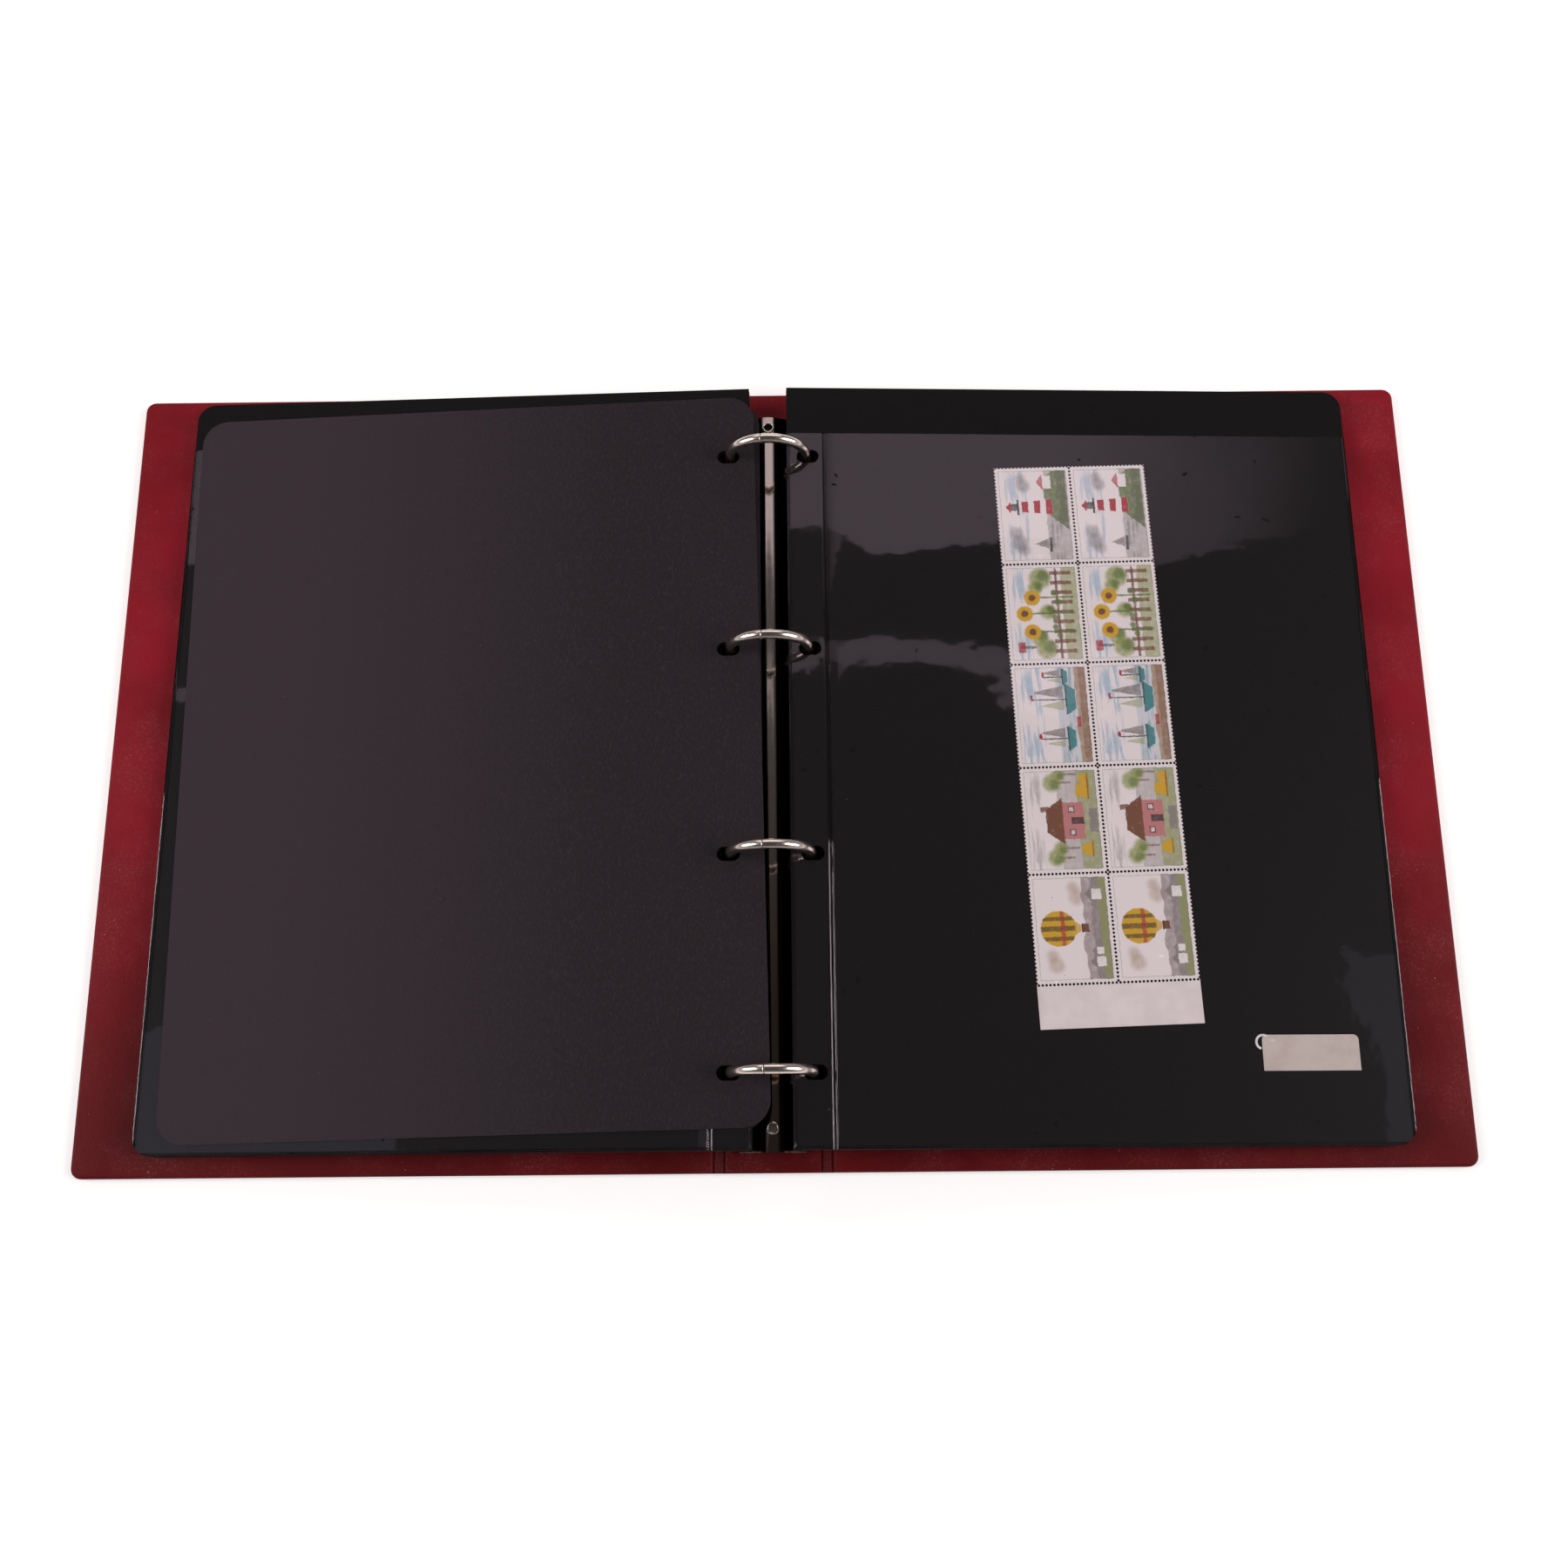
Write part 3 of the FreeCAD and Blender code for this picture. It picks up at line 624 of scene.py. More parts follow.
    def balloon(self, brush: Painter) -> None:
        """A yellow balloon over mauve hills and drifting cloud."""
        for x, y, radius in ((7, 22, 2.8), (10.4, 23.2, 2.2), (32, 12.6, 2.8), (35.6, 13.6, 2.2)):
            brush.disc(self.sand, 0.5, x, y, radius, 1.3)
        brush.ground(self.mauve, 0.8, 10.6, 5.6, 9.0)
        brush.ground(self.grey, 0.8, 7.4, 3.6, 6.0)
        brush.ground(self.leaf, 0.7, 4.6, 1.6, 5.0)
        globe = brush.disc(self.yellow, 1.3, 20.5, 20.2, 6.6, 0.3)
        for x, width in ((16.8, 1.5), (20.5, 1.9), (24.2, 1.5)):
            brush.slab(self.dark, 0.75, x, 20.2, width, 14.0, globe)
        brush.slab(self.red, 0.8, 20.5, 18.6, 14.0, 1.5, globe)
        brush.leaning(self.yellow, 0.9, 20.5, 11.9, 2.2, 2.2, -0.7)
        brush.slab(self.brown, 1.3, 20.5, 10.2, 3.0, 2.6)
        brush.slab(self.dark, 0.9, 20.5, 11.4, 3.4, 0.6)
        for x, scale in ((8.0, 1.0), (12.0, 0.7), (33.0, 1.1)):
            brush.slab(self.paper, 1.1, x, 5.4, 3.6 * scale, 3.6 * scale)
            brush.leaning(self.grey, 1.1, x, 7.0, 4.6 * scale, 2.6 * scale, 0.9)


class Palette:
    """Every finish of the album, built once."""

    def __init__(self) -> None:
        """Build the materials."""
        self.vinyl = RedVinyl().build()
        # Vinyl for the spine lining and the hinge webs, with painted shade where the leaves cover them.
        self.crease = RedVinyl("red_vinyl_under_leaf_shade", 0.95).build()
        self.wire = Nickel("nickel_wire").build()
        self.plate = Nickel("nickel_plate", crest=10.4, tarnish_share=0.25, gloss=0.09, scratch=0.05).build()
        self.sheet = BlackSheet().build()
        self.film = ClearFilm().build()
        self.card = BlackCard().build()
        self.stamp_paper = Paper("stamp_paper", srgb(236, 226, 228), srgb(224, 213, 216)).build()
        self.label_paper = Paper("label_paper", srgb(210, 197, 193), srgb(196, 181, 175)).build()
        # Pale paper for the clear mount scrap: a painted highlight in place of its glint.
        self.mount = Paper("clear_mount", srgb(236, 234, 234), srgb(204, 200, 202), 0.3).build()
        self.board = Paper("greyboard", srgb(158, 152, 144), srgb(136, 130, 124), 0.9).build()
        self.prints = [StampPrint(motif, (41.0, 30.0)).build() for motif in Motif]


def put(name: str, data: bpy.types.ID) -> bpy.types.Object:
    """Put new data in the scene, as an object of that name."""
    made = bpy.data.objects.new(name, data)
    bpy.context.scene.collection.objects.link(made)
    return made


@dataclass
class Piece:
    """A finished mesh and what it stands for."""

    name: str
    body: str
    slot: str
    nodes: tuple[str, ...] = ()

    def make(self, bm: BMesh, materials: list[Material], crease: float = 35.0) -> bpy.types.Object:
        """Turn a bmesh into the piece's object and hang it on its body.

        Args:
            bm: The shape, in place, in metres. It is freed.
            materials: The finishes of its slots.
            crease: Edges that turn more than this many degrees stay sharp.

        Returns:
            The new object.
        """
        ops.recalc_face_normals(bm, faces=bm.faces)
        mesh = bpy.data.meshes.new(self.name)
        bm.to_mesh(mesh)
        bm.free()
        if "custom_normal" in mesh.attributes:
            mesh.attributes.remove(mesh.attributes["custom_normal"])
        mesh.shade_smooth()
        mesh.set_sharp_from_angle(angle=math.radians(crease))
        for material in materials:
            mesh.materials.append(material)
        made = put(self.name, mesh)
        if self.body:
            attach(made, self.body)
        if self.nodes:
            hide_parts(*self.nodes)
        LOG.info("%s: %d faces", self.name, len(mesh.polygons))
        return made


def everything(bm: BMesh) -> list:
    """All the vertices, edges and faces of a bmesh."""
    return bm.verts[:] + bm.edges[:] + bm.faces[:]


def cut(bm: BMesh, axis: int, places: list[float]) -> None:
    """Cut a shape along planes square to an axis.

    Args:
        bm: The shape.
        axis: 0, 1 or 2 for X, Y or Z.
        places: Where the planes cross that axis.
    """
    across = Vector()
    across[axis] = 1.0
    for place in places:
        ops.bisect_plane(bm, geom=everything(bm), dist=1e-7, plane_co=across * place, plane_no=across)


def spread(low: float, high: float, step: float) -> list[float]:
    """Evenly spaced places strictly between two ends, at most a step apart."""
    count = max(int(math.ceil((high - low) / step)), 1)
    return [low + (high - low) * i / count for i in range(1, count)]


def copy_of(node: str) -> BMesh:
    """A welded copy of a solid's mesh."""
    bm = bmesh.new()
    bm.from_mesh(frame["nodes"][node].data)
    ops.remove_doubles(bm, verts=bm.verts, dist=1e-6)
    return bm


def soften(bm: BMesh, edges: Edges, offset: float, segments: int) -> None:
    """Round off edges by an offset in millimetres."""
    ops.bevel(
        bm, geom=edges, offset=offset * MM, segments=segments, profile=0.5, affect="EDGES", material=-1
    )


def lathe(bm: BMesh, profile: list[Vector], centre: Vector, steps: int) -> None:
    """Spin a chain of points once round an upright axis and weld the seam and the poles.

    Args:
        bm: An empty shape to fill.
        profile: The points of the chain.
        centre: A point on the axis.
        steps: Facets round the axis.
    """
    points = [bm.verts.new(point) for point in profile]
    for first, second in zip(points, points[1:]):
        bm.edges.new((first, second))
    outline = everything(bm)
    ops.spin(bm, geom=outline, cent=centre, axis=UP, angle=2 * math.pi, steps=steps, use_merge=True)
    ops.remove_doubles(bm, verts=bm.verts, dist=1e-7)


def sweep(bm: BMesh, centre: Vector, axis: Vector, angle: float, steps: int) -> tuple[Edges, Edges]:
    """Carry the section in a bmesh round an axis, and give its first and its last loop."""
    first = bm.edges[:]
    section = everything(bm)
    swept = ops.spin(bm, geom=section, cent=centre, axis=axis, angle=angle, steps=steps)["geom_last"]
    return first, [item for item in swept if isinstance(item, bmesh.types.BMEdge)]


def extend_loop(bm: BMesh, edges: Edges, step: Vector, scale: float) -> Edges:
    """Extrude a closed loop, then move and scale the new loop about its middle.

    Args:
        bm: The shape.
        edges: The open loop at its end.
        step: How far the new loop moves.
        scale: Its size next to the old one.

    Returns:
        The edges of the new loop.
    """
    made = ops.extrude_edge_only(bm, edges=edges)["geom"]
    verts = [item for item in made if isinstance(item, bmesh.types.BMVert)]
    loop = [e for e in made if isinstance(e, bmesh.types.BMEdge) and all(v in verts for v in e.verts)]
    middle = sum((vert.co for vert in verts), Vector()) / len(verts)
    ops.scale(bm, verts=verts, vec=(scale,) * 3, space=Matrix.Translation(-middle))
    ops.translate(bm, verts=verts, vec=step)
    return loop


@dataclass
class Cover:
    """One cover: a vinyl panel with soft edges, and the web that joins it to the spine."""

    name: str
    side: Side
    corner: float = 4.0
    corner_steps: int = 8
    soft_edge: float = 1.3
    edge_steps: int = 5
    cell: float = 11.0
    hollow: float = 0.22
    lumps_per_metre: float = 14.0
    web_thickness: float = 0.8
    web_cells: tuple[int, int] = (24, 30)
    web_ribs: int = 3
    web_rib: float = 0.1

    def build(self, palette: Palette) -> None:
        """Build the cover's panel and web."""
        self.panel(palette)
        self.web(palette)

    def panel(self, palette: Palette) -> None:
        """The panel: a block with rounded corners and soft edges, slightly hollow inside."""
        nodes = (self.name + "_outer_vinyl", self.name + "_lining")
        low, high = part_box(nodes[0])
        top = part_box(nodes[1])[1].z
        corner = Vector((high.x, high.y, top))
        bm = bmesh.new()
        ops.create_cube(bm, size=1.0)
        ops.scale(bm, verts=bm.verts, vec=corner - low)
        ops.translate(bm, verts=bm.verts, vec=(corner + low) / 2)
        fore = high.x if self.side is Side.RIGHT else low.x
        upright = [e for e in bm.edges if all(abs(v.co.x - fore) < 1e-6 for v in e.verts)]
        upright = [e for e in upright if abs(e.verts[0].co.z - e.verts[1].co.z) > 1e-6]
        soften(bm, upright, self.corner, self.corner_steps)
        rims = [e for e in bm.edges if abs(e.verts[0].co.z - e.verts[1].co.z) < 1e-6]
        soften(bm, rims, self.soft_edge, self.edge_steps)
        margin = 2 * self.soft_edge * MM
        cut(bm, 0, spread(low.x + margin, high.x - margin, self.cell * MM))
        cut(bm, 1, spread(low.y + margin, high.y - margin, self.cell * MM))
        edge_wear_and_light = bm.verts.layers.float.new("edge_wear_and_light")
        for vert in bm.verts:
            x, y, z = vert.co
            inset = min(x - low.x, high.x - x, y - low.y, high.y - y)
            vert[edge_wear_and_light] = 1.0 - smooth(inset, 0.4 * MM, 2 * margin)
            if z > top - 1e-5:
                at = Vector((x * self.lumps_per_metre, y * self.lumps_per_metre, self.side.value * 3.7))
                lumps = 0.5 + 0.5 * noise.noise(at)
                vert.co.z -= self.hollow * MM * lumps * smooth(inset, margin, 4 * margin)
        Piece(self.name + "_panel", self.name + "_cover", "red_vinyl", nodes).make(bm, [palette.vinyl])

    def web(self, palette: Palette) -> None:
        """The web: a ribbed strip of vinyl between the spine and the panel."""
        name = self.name + "_hinge_web"
        low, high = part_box(name)
        width, length = high.x - low.x, high.y - low.y
        middle = (low + high) / 2
        bm = bmesh.new()
        ops.create_grid(bm, x_segments=self.web_cells[0], y_segments=self.web_cells[1], size=0.5)
        ops.scale(bm, verts=bm.verts, vec=(width, length, 1.0))
        for vert in bm.verts:
            vert.co.z = self.web_rib * MM * math.cos(vert.co.x / width * self.web_ribs * 2 * math.pi)
        ops.translate(bm, verts=bm.verts, vec=middle)
        ops.solidify(bm, geom=bm.faces[:], thickness=self.web_thickness * MM)
        heights = [vert.co.z for vert in bm.verts]
        ops.translate(bm, verts=bm.verts, vec=UP * (middle.z - (min(heights) + max(heights)) / 2))
        made = Piece(name + "_strip", "", "red_vinyl", (name,)).make(bm, [palette.crease], 60.0)
        self.name + "_cover"
        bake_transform(made)


@dataclass
class RingMechanism:
    """The crowned plate, the four wire rings in halves and the two eyelets that hold the plate."""

    ring_radius: float = 14.9
    wire_radius: float = 1.9
    wire_facets: int = 28
    arc_steps: int = 56
    ring_ys: tuple[float, ...] = (120.0, 40.0, -40.0, -120.0)
    leg_x: float = 8.36
    leg_drop: float = 0.75
    leg_scale: float = 0.98
    seam_offset: float = 2.5
    seam_gap: float = 0.1
    tip_bevel: float = 0.22
    tip_scale: float = 0.88
    tongue_radius: float = 1.0
    tongue_length: float = 1.0
    tongue_scale: float = 0.65
    socket_room: float = 0.15
    bore: float = 1.5
    shank: float = 1.9
    flange: float = 2.35
    flange_height: float = 0.6
    lip: float = 0.2
    roll_steps: int = 8
    head: float = 3.4
    head_height: float = 0.4
    chamfer: float = 0.15
    eyelet_facets: int = 40
    shoulder: float = 6.5
    shoulder_blend: float = 0.6
    crown: float = 3.0
    plate_cell: float = 0.6

    def build(self, palette: Palette) -> None:
        """Build the plate, the rings and the eyelets."""
        self.plate(palette)
        for number, y in enumerate(self.ring_ys, 1):
            for side in Side:
                self.half_ring(palette, number, y, side)
        for name in ("upper_rivet", "lower_rivet"):
            self.eyelet(palette, name)

    def plate(self, palette: Palette) -> None:
        """The plate, from its solid, with its round arch drawn up to a narrower crown."""
        low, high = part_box("ring_plate")
        half = (high.x - low.x) / 2
        rise = high.z - self.shoulder * MM
        radius = (half * half + rise * rise) / (2 * rise)
        sharp = self.crown * MM
        bm = copy_of("ring_plate")
        cut(bm, 0, spread(low.x, high.x, self.plate_cell * MM))
        for vert in bm.verts:
            aside = min(abs(vert.co.x), half)
            arch = radius - math.sqrt(radius * radius - aside * aside)
            slope = (math.hypot(sharp, aside) - sharp) / (math.hypot(sharp, half) - sharp)
            below, above = self.shoulder - self.shoulder_blend, self.shoulder + self.shoulder_blend
            vert.co.z += smooth(vert.co.z, below * MM, above * MM) * (arch - rise * slope)
        Piece("ring_plate_crowned", "spine", "nickel", ("ring_plate",)).make(bm, [palette.plate], 30.0)

    def ring_height(self) -> float:
        """The height of the rings' axis, in metres."""
        turn = next(joint for joint in frame["joints"] if joint["name"] == "interleaf_turn")
        return turn["pos_m"][2]

    def half_ring(self, palette: Palette, number: int, y: float, side: Side) -> None:
        """One half ring, from its foot in the plate to its bevelled tip.

        Args:
            palette: The finishes.
            number: The ring's number, from the head down.
            y: Its place along the spine, in millimetres.
            side: Which half.
        """
        centre = Vector((0.0, y * MM, self.ring_height()))
        foot = -math.acos(self.leg_x / self.ring_radius)
        seam = math.pi / 2 + side.value * math.asin(self.seam_offset / self.ring_radius)
        seam -= self.seam_gap / 2 / self.ring_radius
        stop = seam - self.tip_bevel / self.ring_radius
        bm = bmesh.new()
        turned = Matrix.Translation(centre) @ Matrix.Rotation(-foot, 4, "Y")
        out = Matrix.Translation(Vector((self.ring_radius * MM, 0.0, 0.0)))
        radius = self.wire_radius * MM
        ops.create_circle(bm, segments=self.wire_facets, radius=radius, matrix=turned @ out)
        first, last = sweep(bm, centre, -ALONG, stop - foot, self.arc_steps)
        leg = extend_loop(bm, first, -UP * self.leg_drop * MM, self.leg_scale)
        ops.edgeloop_fill(bm, edges=leg)
        self.cap_tip(bm, last, Vector((-math.sin(seam), 0.0, math.cos(seam))), side)
        if side is Side.LEFT:
            ops.scale(bm, verts=bm.verts, vec=(-1.0, 1.0, 1.0))
        word = side.name.lower()
        node = "ring_%d_%s" % (number, word)
        Piece(node + "_wire", word + "_rings", "nickel", (node,)).make(bm, [palette.wire], 30.0)

    def cap_tip(self, bm: BMesh, loop: Edges, along: Vector, side: Side) -> None:
        """Round off the wire's tip, with a tongue on the left half and its socket on the right."""
        halfway = (1 + self.tip_scale) / 2
        loop = extend_loop(bm, loop, along * self.tip_bevel * 0.6 * MM, halfway)
        loop = extend_loop(bm, loop, along * self.tip_bevel * 0.4 * MM, self.tip_scale / halfway)
        inner = self.tongue_radius if side is Side.LEFT else self.tongue_radius + self.socket_room
        loop = extend_loop(bm, loop, Vector(), inner / (self.wire_radius * self.tip_scale))
        loop = extend_loop(bm, loop, along * -side.value * self.tongue_length * MM, self.tongue_scale)
        ops.edgeloop_fill(bm, edges=loop)

    def eyelet(self, palette: Palette, node: str) -> None:
        """A rivet with a blind bore, a rolled collar on the plate and a flat head under the spine."""
        low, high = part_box(node)
        collar = high.z - self.flange_height * MM
        lip = collar + self.lip * MM
        roll = (self.flange - self.bore) / 2
        head_top = low.z + self.head_height * MM
        profile = [(0.0, head_top), (self.bore, head_top), (self.bore, lip)]
        for step in range(1, self.roll_steps):
            turn = math.pi * step / self.roll_steps
            profile.append((self.bore + roll * (1 - math.cos(turn)), lip + (high.z - lip) * math.sin(turn)))
        profile += [(self.flange, lip), (self.flange - self.chamfer, collar + 0.02 * MM)]
        profile += [(self.shank, collar), (self.shank, head_top)]
        profile += [(self.head, head_top), (self.head, head_top - self.chamfer * MM)]
        profile += [(self.head - 2 * self.chamfer, low.z), (0.0, low.z)]
        centre = (low + high) / 2
        bm = bmesh.new()
        chain = [Vector((centre.x + radius * MM, centre.y, z)) for radius, z in profile]
        lathe(bm, chain, centre, self.eyelet_facets)
        Piece(node + "_eyelet", "spine", "nickel", (node,)).make(bm, [palette.wire], 50.0)


class LeafFrame:
    """The tilted frame of the leaves on one side: X from the ring axis, Y along it, Z above it."""

    def __init__(self, side: Side, ring_height: float) -> None:
        """Work out the tilt from the top leaf's own box."""
        low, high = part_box("stamp_page_sheet")
        tilt = math.atan2(high.z - low.z - SHEET, high.x - low.x)
        turned = Matrix.Rotation(side.value * tilt, 4, "Y")
        flip = Matrix.Diagonal((side.value, 1.0, 1.0, 1.0))
        self.matrix = Matrix.Translation((0.0, 0.0, ring_height)) @ turned @ flip
        self.inverse = self.matrix.inverted()

    def points(self, node: str) -> list[Vector]:
        """A solid's vertices in this frame."""
        return [self.inverse @ vert.co for vert in frame["nodes"][node].data.vertices]


@dataclass
class PocketFilms:
    """The clear films on both faces of the pocket leaves, with their weld lines and ripples."""

    ring_height: float
    inner: float = 7.5
    reach: float = 230.5
    foot: float = -147.0
    head: float = 130.0
    seam: float = 21.4
    seam_width: float = 1.6
    film: float = 0.12
    bead: float = 0.16
    bead_half: float = 0.45
    rim: float = 0.5
    groove: tuple[float, float] = (0.25, 0.8)
    ripple: float = 0.17
    ripple_length: float = 46.0
    hold: tuple[float, float] = (1.6, 14.0)
    cell: float = 6.5
    margin: float = 3.0

    def build(self, palette: Palette) -> None:
        """Build the films of every pocket leaf."""
        pattern = self.pattern()
        leaves = {
            "left_page_1": "left_leaves", "left_page_2": "left_leaves", "left_page_3": "left_leaves",
            "stamp_page": "stamp_page", "right_page_2": "right_leaves", "right_page_3": "right_leaves",
        }
        for number, (leaf, body) in enumerate(leaves.items()):
            for face, layer in enumerate(("top_film", "under_film")):
                self.film_of(pattern, palette, leaf + "_" + layer, body, face == 1, number * 2.0 + face)
        pattern.free()

    def pattern(self) -> BMesh:
        """A film for the top of a right leaf, cut fine and with its weld lines raised."""
        bm = copy_of("stamp_page_top_film")
        ops.transform(bm, matrix=LeafFrame(Side.RIGHT, self.ring_height).inverse, verts=bm.verts)
        top = max(vert.co.z for vert in bm.verts)
        ops.translate(bm, verts=bm.verts, vec=-UP * top)
        beside_seam = [-0.55, -0.3, -0.1, 0.1, 0.35, 0.8, 1.25, 1.5, 1.7, 1.9, 2.15]
        inside_edge = [0.25, 0.5, 0.75, 1.0, 1.4, 2.2]
        across = [self.seam + place for place in beside_seam]
        across += [self.inner + place for place in inside_edge]
        across += [self.reach - place for place in inside_edge]
        across += spread(self.seam + self.margin, self.reach - self.margin, self.cell)
        upward = [self.foot + place for place in inside_edge]
        upward += spread(self.foot + self.margin, self.head, self.cell)
        for axis, places in enumerate((across, upward)):
            cut(bm, axis, [place * MM for place in places])
        bm.normal_update()
        for face in bm.faces:
            face.material_index = 0 if abs(face.normal.z) > 0.5 else 1
        for vert in bm.verts:
            if vert.co.z > -1e-6:
                vert.co.z += self.weld_height(vert.co.x / MM, vert.co.y / MM) * MM
        return bm

    def weld_height(self, x: float, y: float) -> float:
        """Height of the weld lines above the film, in millimetres."""
        def ridge(away: float) -> float:
            """A rounded ridge about half a millimetre wide."""
            return 1.0 - smooth(abs(away), 0.0, self.bead_half)

        lumps = 0.85 + 0.3 * noise.noise(Vector((x / 30, y / 9, 0.0)))
        seam = ridge(x - self.seam + 0.1) + ridge(x - self.seam - self.seam_width - 0.1)
        groove = 1.0 - smooth(abs(x - self.seam - self.seam_width / 2), *self.groove)
        outer = max(ridge(self.reach - x - self.rim), ridge(y - self.foot - self.rim))
        return self.bead * (seam + ridge(x - self.inner - self.rim) + lumps * outer - groove)

    def film_of(
        self, pattern: BMesh, palette: Palette, node: str, body: str, under: bool, seed: float
    ) -> None:
        """One film, rippled in its own way and brought to its solid's depth below the ring axis.

        Args:
            pattern: The film to copy, level and with its top at height 0.
            palette: The finishes.
            node: The solid it stands for.
            body: The body it rides on.
            under: True for a film on a leaf's under face.
            seed: Sets its ripples apart from the others'.
        """
        leaf = LeafFrame(Side.LEFT if node.startswith("left") else Side.RIGHT, self.ring_height)
        bm = pattern.copy()
        for vert in bm.verts:
            if vert.co.z > -(self.film + 0.01) * MM:
                vert.co.z += self.ripple_height(vert.co.x / MM, vert.co.y / MM, seed) * MM
        if under:
            ops.scale(bm, verts=bm.verts, vec=(1.0, 1.0, -1.0))
        heights = [point.z for point in leaf.points(node)]
        ops.translate(bm, verts=bm.verts, vec=UP * (min(heights) if under else max(heights)))
        ops.transform(bm, matrix=leaf.matrix, verts=bm.verts)
        Piece(node + "_clear", body, "clear_film", (node,)).make(bm, [palette.film, palette.sheet], 50.0)

    def ripple_height(self, x: float, y: float, seed: float) -> float:
        """Height of the film's ripples, which die out at its welds, in millimetres."""
        beside = min(abs(x - self.seam), abs(x - self.seam - self.seam_width))
        away = min(beside, x - self.inner, self.reach - x, y - self.foot)
        at = Vector((x / self.ripple_length, y / self.ripple_length, seed * 5.3))
        return self.ripple * smooth(away, *self.hold) * (noise.noise(at) + 0.25)


@dataclass
class CardLeaves:
    """The plain card leaves of the left side, faintly warped, with a painted highlight on their edges."""

    ring_height: float
    cell: float = 14.0
    warp: float = 0.1
    warps_per_metre: float = 9.0
    rim: float = 0.5
    rim_highlight: float = 0.55

    def build(self, palette: Palette) -> None:
        """Build the upper and the lower card."""
        self.card(palette, "interleaf_card", "interleaf", 1.0)
        self.card(palette, "lower_interleaf_card", "left_leaves", 2.0)

    def card(self, palette: Palette, node: str, body: str, seed: float) -> None:
        """One card, from its punched solid."""
        leaf = LeafFrame(Side.LEFT, self.ring_height)
        bm = copy_of(node)
        ops.transform(bm, matrix=leaf.inverse, verts=bm.verts)
        places = [[vert.co[axis] for vert in bm.verts] for axis in (0, 1)]
        bm.normal_update()
        # Painted highlight: the side faces and a narrow rim of the top face are marked to be drawn paler.
        edge_wear_and_light = bm.faces.layers.float.new("edge_wear_and_light")
        upper = [face for face in bm.faces if face.normal.z > 0.7]
        for face in bm.faces:
            face[edge_wear_and_light] = 0.0 if abs(face.normal.z) > 0.7 else 1.0
        for face in ops.inset_region(bm, faces=upper, thickness=self.rim * MM)["faces"]:
            face[edge_wear_and_light] = self.rim_highlight
        for axis, along in enumerate(places):
            cut(bm, axis, spread(min(along), max(along), self.cell * MM))
        for vert in bm.verts:
            at = Vector((vert.co.x * self.warps_per_metre, vert.co.y * self.warps_per_metre, seed))
            vert.co.z += self.warp * MM * noise.noise(at)
        ops.transform(bm, matrix=leaf.matrix, verts=bm.verts)
        Piece(node + "_stiff", body, "black_card", (node,)).make(bm, [palette.card], 50.0)


